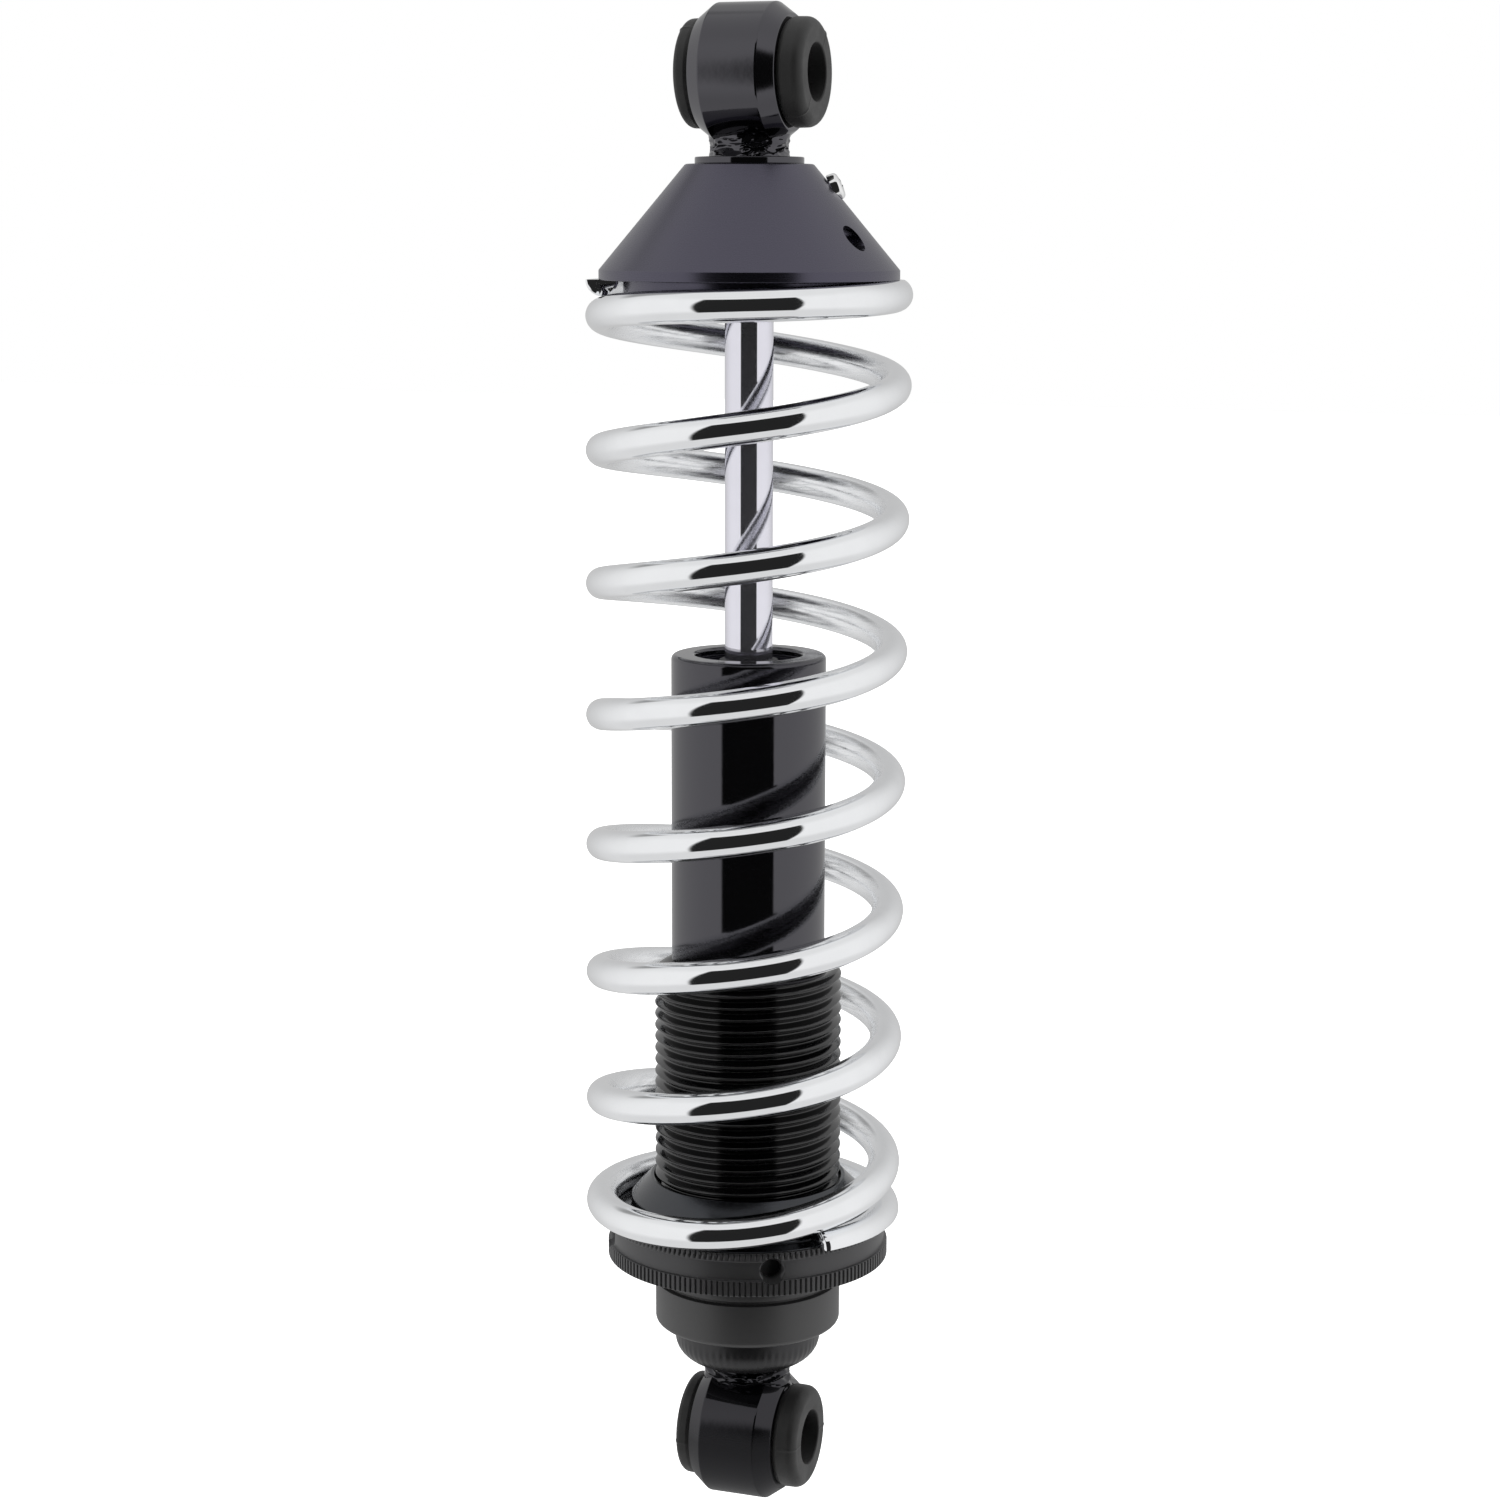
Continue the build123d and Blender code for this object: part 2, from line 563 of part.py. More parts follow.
def knurled_band(bottom, top):
    """Band of straight pointed teeth around the collar."""
    corners = []
    for index in range(2 * KNURL_TEETH):
        angle = math.pi * index / KNURL_TEETH
        radius = COLLAR_RADIUS - KNURL_DEPTH * (index % 2)
        corners.append((radius * math.cos(angle), radius * math.sin(angle)))
    band = extrude(make_face(Polyline(*corners, close=True)), top - bottom)
    inside = COLLAR_RADIUS - 2 * KNURL_EDGE
    barrel = turned(
        (0, bottom), (inside, bottom), (COLLAR_RADIUS, bottom + KNURL_EDGE),
        (COLLAR_RADIUS, top - KNURL_EDGE), (inside, top), (0, top),
    )
    return (Pos(0, 0, bottom) * band) & barrel


def preload_collar():
    """Threaded ring that sets the preload, with two knurled bands and spanner holes between."""
    above = COLLAR_TOP + OVERCUT
    body = knurled_band(COLLAR_BOTTOM, COLLAR_BAND_TOP)
    body += disc(COLLAR_GROOVE_RADIUS, COLLAR_BOTTOM + KNURL_EDGE, COLLAR_TOP - KNURL_EDGE)
    body += knurled_band(COLLAR_GROOVE_TOP, COLLAR_TOP)
    body -= disc(SEAT_FLANGE_RADIUS + COLLAR_SEAT_GAP, SEAT_BOTTOM, above)
    body -= disc(COLLAR_BORE, COLLAR_BOTTOM - OVERCUT, above)
    inner = COLLAR_RADIUS - SPANNER_HOLE_DEPTH
    outer = COLLAR_RADIUS + OVERCUT
    for angle in SPANNER_HOLE_ANGLES:
        body -= radial_hole(SPANNER_HOLE_RADIUS, SPANNER_HOLE_Z, angle, inner, outer)
    ridge = thread_form(SLEEVE_RADIUS, RIDGE_DEPTH, RIDGE_CREST, RIDGE_ROOT)
    return body + helical_bar(THREAD_START + THREAD_PITCH, RIDGE_TURNS * THREAD_PITCH, ridge)


def lower_spring_seat():
    """Seat with a thin flange under the spring and a spigot that centres it."""
    seat = turned(
        (SEAT_BORE, SEAT_BOTTOM), (SEAT_FLANGE_RADIUS, SEAT_BOTTOM),
        (SEAT_FLANGE_RADIUS, SPRING_BOTTOM), (SEAT_SPIGOT_RADIUS, SPRING_BOTTOM),
        (SEAT_SPIGOT_RADIUS, SEAT_SPIGOT_TOP), (SEAT_TOP_RADIUS, SEAT_TOP), (SEAT_BORE, SEAT_TOP),
    )
    edge = circles_at(seat, SEAT_SPIGOT_TOP, SEAT_SPIGOT_RADIUS)
    return fillet(edge, SEAT_SPIGOT_ROUNDING)


# ---- spring -------------------------------------------------------------------------------------
def closed_rise(turn, closed_pitch, closed_turns, pitch):
    """Height of the wire above its tip, a closed coil that opens smoothly to the full pitch."""
    start = closed_turns - PITCH_CHANGE_TURNS / 2
    share = min(max((turn - start) / PITCH_CHANGE_TURNS, 0), 1)
    eased = PITCH_CHANGE_TURNS * (share ** 3 - share ** 4 / 2)
    beyond = max(turn - start - PITCH_CHANGE_TURNS, 0)
    return closed_pitch * turn + (pitch - closed_pitch) * (eased + beyond)


def full_pitch():
    """Pitch of the open coils that makes the spring fill the space between its seats."""
    closed = CLOSED_PITCH_BOTTOM * CLOSED_TURNS_BOTTOM + CLOSED_PITCH_TOP * CLOSED_TURNS_TOP
    open_turns = SPRING_TURNS - CLOSED_TURNS_BOTTOM - CLOSED_TURNS_TOP
    return (SPRING_TOP - SPRING_BOTTOM - closed) / open_turns


def wire_point(turn):
    """Middle of the wire after a number of turns from the bottom tip."""
    pitch = full_pitch()
    if turn < SPRING_TURNS / 2:
        z = SPRING_BOTTOM + closed_rise(turn, CLOSED_PITCH_BOTTOM, CLOSED_TURNS_BOTTOM, pitch)
    else:
        left = SPRING_TURNS - turn
        z = SPRING_TOP - closed_rise(left, CLOSED_PITCH_TOP, CLOSED_TURNS_TOP, pitch)
    angle = math.radians(SPRING_START_DEG) + 2 * math.pi * turn
    lean = SPRING_SHIFT * (SPRING_TOP - z) / (SPRING_TOP - SPRING_BOTTOM)
    toward = math.radians(SPRING_SHIFT_DEG)
    x = SPRING_RADIUS * math.cos(angle) + lean * math.cos(toward)
    y = SPRING_RADIUS * math.sin(angle) + lean * math.sin(toward)
    return (x, y, z)


def spring():
    """Right-hand coil spring, its closed ends ground flat."""
    steps = SPRING_POINTS_PER_TURN * round(SPRING_TURNS)
    points = [wire_point(SPRING_TURNS * index / steps) for index in range(steps + 1)]
    path = Spline(*points)
    section = Plane(origin=path @ 0, z_dir=path % 0) * Circle(WIRE_RADIUS)
    wire = sweep(section, path=path, is_frenet=True)
    return wire & disc(SPRING_RADIUS + 2 * WIRE_RADIUS, SPRING_BOTTOM, SPRING_TOP)


# ---- all sub-parts ------------------------------------------------------------------------------
def all_parts():
    """Every sub-part by node name."""
    return {
        "upper_eye": upper_eye(),
        "upper_bush_left": bush_half(EYE_TO_EYE, -1),
        "upper_bush_right": bush_half(EYE_TO_EYE, 1),
        "upper_spring_cap": upper_spring_cap(),
        "cap_lock_screw": cap_lock_screw(),
        "rod_lock_nut": rod_lock_nut(),
        "bump_washer": bump_washer(),
        "bump_stop": bump_stop(),
        "piston_rod": piston_rod(),
        "top_out_bumper": top_out_bumper(),
        "piston": piston(),
        "piston_band": piston_band(),
        "compression_shims": shim_stack(PISTON_TOP, 1),
        "rebound_shims": shim_stack(PISTON_BOTTOM, -1),
        "piston_nut": piston_nut(),
        "damper_tube": damper_tube(),
        "seal_head": seal_head(),
        "seal_head_oring": oring(HEAD_ORING_Z),
        "wiper_seal": wiper_seal(),
        "guide_bush": guide_bush(),
        "rod_seal": rod_seal(),
        "floating_piston": floating_piston(),
        "floating_piston_oring": oring(FLOAT_ORING_Z),
        "base_cap": base_cap(),
        "base_cap_oring": oring(BASE_ORING_Z),
        "lower_eye": lower_eye(),
        "lower_bush_left": bush_half(0, -1),
        "lower_bush_right": bush_half(0, 1),
        "threaded_sleeve": threaded_sleeve(),
        "sleeve_stop_ring": sleeve_stop_ring(),
        "preload_collar": preload_collar(),
        "lower_spring_seat": lower_spring_seat(),
        "spring": spring(),
    }


os.makedirs("parts", exist_ok=True)
for node, shape in all_parts().items():
    export_step(shape, f"parts/{node}.step")
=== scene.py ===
import math

import bmesh
import bpy
import numpy as np
from mathutils import Matrix, Quaternion, Vector, noise


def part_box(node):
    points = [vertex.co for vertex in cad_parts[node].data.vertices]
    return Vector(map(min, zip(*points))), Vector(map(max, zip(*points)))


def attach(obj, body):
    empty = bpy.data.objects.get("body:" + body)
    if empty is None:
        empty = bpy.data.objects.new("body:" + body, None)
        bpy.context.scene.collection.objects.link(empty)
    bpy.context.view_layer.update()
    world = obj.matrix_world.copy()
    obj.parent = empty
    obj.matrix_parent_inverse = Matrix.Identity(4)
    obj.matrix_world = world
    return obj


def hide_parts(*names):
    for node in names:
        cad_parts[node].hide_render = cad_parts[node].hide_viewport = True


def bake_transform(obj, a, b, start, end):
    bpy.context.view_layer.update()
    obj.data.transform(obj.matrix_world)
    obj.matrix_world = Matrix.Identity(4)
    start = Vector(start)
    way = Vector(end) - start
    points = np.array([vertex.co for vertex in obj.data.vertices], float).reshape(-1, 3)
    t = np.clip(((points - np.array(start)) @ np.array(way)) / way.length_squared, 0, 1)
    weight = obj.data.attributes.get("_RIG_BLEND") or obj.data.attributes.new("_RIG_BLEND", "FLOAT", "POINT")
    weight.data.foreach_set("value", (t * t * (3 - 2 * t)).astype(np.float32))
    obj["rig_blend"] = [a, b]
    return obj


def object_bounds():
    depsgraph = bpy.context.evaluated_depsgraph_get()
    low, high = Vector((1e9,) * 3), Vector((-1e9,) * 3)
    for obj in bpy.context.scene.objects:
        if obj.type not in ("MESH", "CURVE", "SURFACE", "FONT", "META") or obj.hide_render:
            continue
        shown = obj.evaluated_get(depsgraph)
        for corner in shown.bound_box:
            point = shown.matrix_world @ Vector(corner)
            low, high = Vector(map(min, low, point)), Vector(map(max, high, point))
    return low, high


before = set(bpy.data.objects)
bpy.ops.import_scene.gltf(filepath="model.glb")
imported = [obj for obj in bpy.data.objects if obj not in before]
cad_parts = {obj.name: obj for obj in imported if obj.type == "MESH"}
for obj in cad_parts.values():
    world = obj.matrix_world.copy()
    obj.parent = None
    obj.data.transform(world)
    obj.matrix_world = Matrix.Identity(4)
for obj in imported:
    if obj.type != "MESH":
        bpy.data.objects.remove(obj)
CAD_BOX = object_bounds()

MM = 0.001
FULL_TURN = 2 * math.pi

# ---- camera and studio -------------------------------------------------------------------------
CAMERA_AZIMUTH = math.radians(20)
CAMERA_DISTANCE = 769.7 * MM          # level, from the damper's axis
CAMERA_HEIGHT = 313.1 * MM            # above the lower eye
CAMERA_PITCH = math.radians(9.8)
CAMERA_LENS = 74.4
CAMERA_SHIFT = 0.001                  # of the picture's width, to the right
CAMERA_ROLL = math.radians(0.1)
FLOOR_DROP = 90 * MM                  # the floor below the lowest point
FLOOR_SIZE = 12.0
GAP_RIGHT = math.radians(38)          # dark gap in the white tent that the camera looks through
GAP_LEFT = math.radians(40.2)
GAP_LOW = math.radians(-38.5)
GAP_HIGH = math.radians(45)
GAP_EDGE = math.radians(1.5)
GAP_LEFT_EDGE = math.radians(2.2)     # the left side of the gap fades more slowly
GAP_LIGHT = 0.022
SIDE_LIGHT = 1.13                     # soft boxes beside the camera
BACK_LIGHT = 0.7
TOP_LIGHT = 1.0
BOTTOM_LIGHT = 0.92
SHADE_LIGHT = 0.45                    # of the tent's light left behind the shade at the back left


# ---- sizes that the frame gives ----------------------------------------------------------------
def height_span(node):
    """Lowest and highest point of a CAD node."""
    low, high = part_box(node)
    return low.z, high.z


def outer_radius(node):
    """Half of the larger level side of a CAD node that is round about the damper's axis."""
    low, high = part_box(node)
    return max(high.x - low.x, high.y - low.y) / 2


# ---- mesh building -----------------------------------------------------------------------------
def rounded(corners, steps=6):
    """Outline through (radius, height, rounding) corners, each rounding a true arc."""
    points = []
    for index, (radius, height, size) in enumerate(corners):
        here = Vector((radius, height))
        if not size:
            points.append(here)
            continue
        back = Vector(corners[index - 1][:2]) - here
        ahead = Vector(corners[(index + 1) % len(corners)][:2]) - here
        angle = back.angle(ahead)
        reach = min(size / math.tan(angle / 2), 0.49 * back.length, 0.49 * ahead.length)
        start = here + back.normalized() * reach
        end = here + ahead.normalized() * reach
        pull = math.sin(angle / 2)
        for step in range(steps + 1):
            t = step / steps
            parts = ((1 - t) ** 2, 2 * t * (1 - t) * pull, t ** 2)
            points.append((start * parts[0] + here * parts[1] + end * parts[2]) / sum(parts))
    return np.array([tuple(p) for p in points])


def stretched(outline, step, closed=True):
    """The outline with its long sides cut into lengths of about one step."""
    points = []
    count = len(outline) if closed else len(outline) - 1
    for index in range(count):
        start, end = outline[index], outline[(index + 1) % len(outline)]
        pieces = max(1, int(np.linalg.norm(end - start) / step))
        for part in range(pieces):
            points.append(start + (end - start) * part / pieces)
    if not closed:
        points.append(outline[-1])
    return np.array(points)


def grid_faces(rows, columns, close_rows):
    """Quads of a grid whose columns run round, with its last row joined to its first or not."""
    faces = []
    for row in range(rows if close_rows else rows - 1):
        following = (row + 1) % rows
        for column in range(columns):
            beside = (column + 1) % columns
            faces.append((
                row * columns + column, following * columns + column,
                following * columns + beside, row * columns + beside,
            ))
    return faces


def spun(outline, segments=160, closed=True, shape=None, place=None):
    """Shell made by turning an outline about Z; shape may move its points in radius and height."""
    angle = np.linspace(0, FULL_TURN, segments, endpoint=False)[None, :]
    radius = np.repeat(outline[:, :1], segments, axis=1)
    height = np.repeat(outline[:, 1:2], segments, axis=1)
    if shape:
        radius, height = shape(radius, angle, height)
    points = np.stack([radius * np.cos(angle), radius * np.sin(angle), height], axis=-1)
    points = points.reshape(-1, 3)
    if place is not None:
        turn = np.array(place.to_3x3())
        points = points @ turn.T + np.array(place.translation)
    return points, grid_faces(len(outline), segments, closed)


def along_x(z, side=1):
    """Placement that turns +Z to +X or -X at a height."""
    return Matrix.Translation((0, 0, z)) @ Matrix.Rotation(side * math.pi / 2, 4, "Y")


def piece(name, shells, material, body, stands_for=(), sharp=32):
    """Object made of closed shells that rides on a body and stands for CAD nodes."""
    vertices, faces, first = [], [], 0
    for points, quads in shells:
        vertices.extend(map(tuple, points))
        faces.extend(tuple(corner + first for corner in quad) for quad in quads)
        first += len(points)
    mesh = bpy.data.meshes.new(name)
    mesh.from_pydata(vertices, [], faces)
    obj = bpy.data.objects.new(name, mesh)
    bpy.context.scene.collection.objects.link(obj)
    tidy_mesh(mesh, sharp)
    mesh.materials.append(material)
    if body:
        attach(obj, body)
    if stands_for:
        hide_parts(*stands_for)
    return obj


def tidy_mesh(mesh, sharp=32):
    """Merges doubled points, turns faces outward and sets smooth shading with sharp edges."""
    work = bmesh.new()
    work.from_mesh(mesh)
    bmesh.ops.remove_doubles(work, verts=work.verts, dist=1e-7)
    bmesh.ops.dissolve_degenerate(work, edges=work.edges, dist=1e-7)
    bmesh.ops.recalc_face_normals(work, faces=work.faces)
    work.to_mesh(mesh)
    work.free()
    mesh.shade_smooth()
    mesh.set_sharp_from_angle(angle=math.radians(sharp))


def even_shading(obj):
    """Weights normals by face area so that flats stay flat beside their rounded edges."""
    modifier = obj.modifiers.new("even_shading", "WEIGHTED_NORMAL")
    modifier.keep_sharp = True
    return obj


def cut(obj, shells, sharp=32):
    """Takes the cutter shells out of an object."""
    for points, faces in shells:
        mesh = bpy.data.meshes.new("cutter")
        mesh.from_pydata([tuple(p) for p in points], [], faces)
        tidy_mesh(mesh)
        cutter = bpy.data.objects.new("cutter", mesh)
        bpy.context.scene.collection.objects.link(cutter)
        modifier = obj.modifiers.new("cut", "BOOLEAN")
        modifier.operation = "DIFFERENCE"
        modifier.solver = "EXACT"
        modifier.object = cutter
        graph = bpy.context.evaluated_depsgraph_get()
        result = bpy.data.meshes.new_from_object(obj.evaluated_get(graph))
        obj.modifiers.remove(modifier)
        obj.data = result
        bpy.data.objects.remove(cutter)
        tidy_mesh(result, sharp)
    return obj


def rod_shell(start, direction, radius, length, segments=64):
    """Closed plain cylinder from a point along a direction."""
    outline = np.array([(0, 0), (radius, 0), (radius, length), (0, length)])
    turn = Vector(direction).to_track_quat("Z", "Y").to_matrix().to_4x4()
    return spun(outline, segments, closed=False, place=Matrix.Translation(start) @ turn)


# ---- material building -------------------------------------------------------------------------
def add_node(tree, kind, inputs=None, **settings):
    """New shader node with its settings and input values."""
    made = tree.nodes.new(kind)
    for key, value in settings.items():
        setattr(made, key, value)
    for key, value in (inputs or {}).items():
        if isinstance(value, bpy.types.NodeSocket):
            tree.links.new(value, made.inputs[key])
        else:
            made.inputs[key].default_value = value
    return made


def new_material(name):
    """Empty node material and its main shader."""
    material = bpy.data.materials.new(name)
    material.use_nodes = True
    return material, material.node_tree, material.node_tree.nodes["Principled BSDF"]


def grain(tree, size, detail=3.0, stretch=(1, 1, 1)):
    """Noise whose features are about one size in metres, stretched along the axes."""
    where = add_node(tree, "ShaderNodeTexCoord")
    scaled = add_node(tree, "ShaderNodeMapping", {
        "Vector": where.outputs["Object"], "Scale": tuple(1 / size / s for s in stretch),
    })
    return add_node(tree, "ShaderNodeTexNoise", {
        "Vector": scaled.outputs["Vector"], "Scale": 1.0, "Detail": detail,
    }).outputs["Fac"]


def ranged(tree, value, low, high, start=0.3, end=0.7):
    """Value spread over a range."""
    return add_node(tree, "ShaderNodeMapRange", {
        "Value": value, "From Min": start, "From Max": end, "To Min": low, "To Max": high,
    }).outputs["Result"]


def combined(tree, operation, first, second):
    """Arithmetic on two values."""
    return add_node(tree, "ShaderNodeMath", {0: first, 1: second}, operation=operation).outputs[0]


def tinted(tree, value, dark, light):
    """Colour between two colours."""
    return add_node(tree, "ShaderNodeMix", {
        "Factor": value, 6: (*dark, 1), 7: (*light, 1),
    }, data_type="RGBA").outputs[2]


def bumped(tree, height, depth, normal=None):
    """Normal disturbed by a height of a depth in metres."""
    inputs = {"Height": height, "Distance": depth, "Strength": 1.0}
    if normal is not None:
        inputs["Normal"] = normal
    return add_node(tree, "ShaderNodeBump", inputs).outputs["Normal"]


def connect(tree, shader, **sockets):
    """Links or sets the main shader's inputs; underscores stand for spaces."""
    for key, value in sockets.items():
        socket = shader.inputs[key.replace("_", " ")]
        if isinstance(value, bpy.types.NodeSocket):
            tree.links.new(value, socket)
        else:
            socket.default_value = value


def smooth_step(tree, value, low, high):
    """Eased step from 0 to 1 between two values."""
    return add_node(tree, "ShaderNodeMapRange", {
        "Value": value, "From Min": low, "From Max": high,
    }, interpolation_type="SMOOTHSTEP").outputs["Result"]


def blended(tree, share, first, second):
    """Value between two values."""
    return add_node(tree, "ShaderNodeMix", {0: share, 2: first, 3: second}).outputs[0]


def chrome(name, tint, smooth, rough, ripple, metallic=1.0):
    """Plated metal with faint polishing marks and a slow ripple under the plating."""
    material, tree, shader = new_material(name)
    cloud = grain(tree, 6 * MM, 2)
    marks = grain(tree, 0.25 * MM, 2, stretch=(6, 6, 1))
    dark = tuple(c * 0.94 for c in tint)
    normal = bumped(tree, cloud, ripple)
    connect(
        tree, shader, Metallic=metallic,
        Base_Color=tinted(tree, cloud, dark, tint),
        Roughness=ranged(tree, marks, smooth, rough),
        Normal=bumped(tree, marks, ripple * 0.05, normal),
    )
    return material


def facing_in(tree):
    """One where a surface faces the damper's axis and zero where it faces out."""
    place = add_node(tree, "ShaderNodeNewGeometry")
    level = add_node(tree, "ShaderNodeVectorMath", {
        0: place.outputs["Position"], 1: (1, 1, 0),
    }, operation="MULTIPLY").outputs[0]
    out = add_node(tree, "ShaderNodeVectorMath", {0: level}, operation="NORMALIZE").outputs[0]
    share = add_node(tree, "ShaderNodeVectorMath", {
        0: out, 1: place.outputs["Normal"],
    }, operation="DOT_PRODUCT").outputs["Value"]
    return smooth_step(tree, share, -0.05, -0.6)


def spring_finish():
    """Chrome that is bright outside the coils and duller, with drawing lines, inside them."""
    material = chrome("spring_chrome", (0.93, 0.94, 0.955), 0.05, 0.08, 0.003 * MM)
    tree = material.node_tree
    shader = tree.nodes["Principled BSDF"]
    polished = shader.inputs["Roughness"].links[0].from_socket
    normal = shader.inputs["Normal"].links[0].from_socket
    inside = facing_in(tree)
    lines = grain(tree, 0.5 * MM, 2, stretch=(14, 14, 1))
    dull = ranged(tree, lines, 0.16, 0.34)
    drawn = combined(tree, "MULTIPLY", lines, inside)
    connect(
        tree, shader,
        Roughness=blended(tree, inside, polished, dull),
        Normal=bumped(tree, drawn, 0.012 * MM, normal),
    )
    return material


PAINTED_LIGHT_IOR = 1.3                        # of the lower zone, whose lighter colour is painted light
PAINTED_LIGHT_ROUGHNESS = 0.42


def gloss_paint(name, ior, painted_light_low, painted_light_high):
    """Black enamel with orange peel, glossy above the second height; below the first a painted light makes
    it lighter in colour, rougher and less shiny.
    """
    material, tree, shader = new_material(name)
    peel = grain(tree, 1.6 * MM, 1.5)
    dust = grain(tree, 9 * MM, 4)
    place = add_node(tree, "ShaderNodeNewGeometry")
    height = add_node(tree, "ShaderNodeSeparateXYZ", {0: place.outputs["Position"]}).outputs["Z"]
    # painted light: share of the lighter, rougher, less shiny paint towards the bottom
    painted_light_share = ranged(tree, height, 1, 0, painted_light_low, painted_light_high)
    rough = combined(tree, "MULTIPLY", painted_light_share, PAINTED_LIGHT_ROUGHNESS)
    connect(
        tree, shader,
        Base_Color=tinted(tree, painted_light_share, (0.003, 0.003, 0.0035), (0.022, 0.022, 0.0235)),
        Roughness=combined(tree, "MAXIMUM", ranged(tree, dust, 0.05, 0.09), rough),
        IOR=ranged(tree, painted_light_share, ior, PAINTED_LIGHT_IOR, 0, 1), Specular_Tint=(0.92, 0.9, 1.0, 1),
        Normal=bumped(tree, peel, 0.004 * MM),
    )
    return material


def anodised(name, base, ior, tint, smooth, rough, lines):
    """Black anodised aluminium with the fine rings that turning leaves."""
    material, tree, shader = new_material(name)
    rings = grain(tree, 0.12 * MM, 2, stretch=(1e6, 1e6, 1))
    cloud = grain(tree, 12 * MM, 3)
    dark = tuple(c * 0.8 for c in base)
    light = tuple(c * 1.2 for c in base)
    connect(
        tree, shader,
        Base_Color=tinted(tree, cloud, dark, light),
        Roughness=ranged(tree, combined(tree, "MULTIPLY", rings, cloud), smooth, rough, 0.1, 0.5),
        IOR=ior, Specular_Tint=(*tint, 1),
        Normal=bumped(tree, rings, lines),
    )
    return material


def rubber(name, base):
    """Moulded rubber with a matte, faintly dusty skin."""
    material, tree, shader = new_material(name)
    skin = grain(tree, 0.35 * MM, 4)
    bloom = grain(tree, 5 * MM, 4)
    dark = tuple(c * 0.7 for c in base)
    light = tuple(c * 1.35 for c in base)
    connect(
        tree, shader,
        Base_Color=tinted(tree, bloom, dark, light),
        Roughness=ranged(tree, bloom, 0.5, 0.68),
        IOR=1.52, Sheen_Weight=0.12, Sheen_Roughness=0.5,
        Normal=bumped(tree, skin, 0.02 * MM),
    )
    return material


def plain_metal(name, base, smooth, rough):
    """Machined metal with fine marks."""
    material, tree, shader = new_material(name)
    marks = grain(tree, 0.3 * MM, 3, stretch=(8, 8, 1))
    dark = tuple(c * 0.85 for c in base)
    connect(
        tree, shader, Metallic=1.0,
        Base_Color=tinted(tree, marks, dark, base),
        Roughness=ranged(tree, marks, smooth, rough),
        Normal=bumped(tree, marks, 0.004 * MM),
    )
    return material


def sleeve_finish(satin_top):
    """Black enamel that is glossy on the thread and satin on the plain part below a height."""
    material, tree, shader = new_material("sleeve_black")
    where = add_node(tree, "ShaderNodeTexCoord")
    split = add_node(tree, "ShaderNodeSeparateXYZ", {"Vector": where.outputs["Object"]})
    plain = ranged(tree, split.outputs["Z"], 0, 1, satin_top, satin_top - 0.5 * MM)
    fine = grain(tree, 0.2 * MM, 3)
    cloud = grain(tree, 8 * MM, 3)
    gloss = ranged(tree, cloud, 0.1, 0.16)
    satin = ranged(tree, fine, 0.42, 0.5)
    connect(
        tree, shader,
        Base_Color=tinted(tree, plain, (0.002, 0.002, 0.0025), (0.058, 0.058, 0.059)),
        Roughness=blended(tree, plain, gloss, satin), IOR=1.62,
        Normal=bumped(tree, fine, 0.002 * MM),
    )
    return material


SPRING_CHROME = spring_finish()
ROD_CHROME = chrome("rod_chrome", (0.88, 0.87, 0.95), 0.04, 0.08, 0.0005 * MM, 0.91)
SCREW_CHROME = chrome("screw_chrome", (0.93, 0.93, 0.93), 0.05, 0.1, 0.003 * MM)
NO_PAINTED_LIGHT_HEIGHTS = (-2, -1)        # metres, far below every piece
# painted light: the lower eye's ring is painted lighter, rougher and less shiny towards its bottom to match
# its tone; its real paint is the same as the upper eye's
LOWER_RING_PAINTED_LIGHT_HEIGHTS = (1 * MM, 7 * MM)
PAINT = gloss_paint("gloss_black_paint", 1.85, *NO_PAINTED_LIGHT_HEIGHTS)
# the same black paint with a weaker reflection and the painted-light bottom, standing in for how light falls
# on the lower eye
LOWER_PAINT = gloss_paint("lower_black_paint", 1.55, *LOWER_RING_PAINTED_LIGHT_HEIGHTS)
PURPLE_SHEEN = (0.79, 0.75, 1.0)
NEUTRAL_SHEEN = (0.98, 0.97, 1.0)
CAP_BLACK = anodised(
    "cap_satin_black", (0.003, 0.003, 0.004), 2.05, PURPLE_SHEEN, 0.24, 0.32, 0.0006 * MM
)
COLLAR_BLACK = anodised(
    "collar_satin_black", (0.046, 0.046, 0.047), 1.62, NEUTRAL_SHEEN, 0.36, 0.46, 0.001 * MM
)
SEAT_BLACK = anodised(
    "seat_black", (0.004, 0.004, 0.005), 1.7, (0.88, 0.92, 1.0), 0.12, 0.2, 0.0006 * MM
)
RUBBER = rubber("bush_rubber", (0.017, 0.017, 0.017))
SEAL_RUBBER = rubber("seal_rubber", (0.012, 0.012, 0.013))
STEEL = plain_metal("plain_steel", (0.5, 0.51, 0.53), 0.25, 0.4)
ALUMINIUM = plain_metal("plain_aluminium", (0.62, 0.63, 0.65), 0.28, 0.42)
BRONZE = plain_metal("bearing_bronze", (0.6, 0.42, 0.2), 0.3, 0.45)
BAND_PLASTIC = rubber("bearing_plastic", (0.08, 0.14, 0.12))
SATIN_TOP = 45.7 * MM                 # the sleeve is satin below this height
SLEEVE_BLACK = sleeve_finish(SATIN_TOP)
BOWL_BLACK = anodised(
    "bowl_satin_black", (0.009, 0.009, 0.0095), 1.58, NEUTRAL_SHEEN, 0.34, 0.46, 0.002 * MM
)

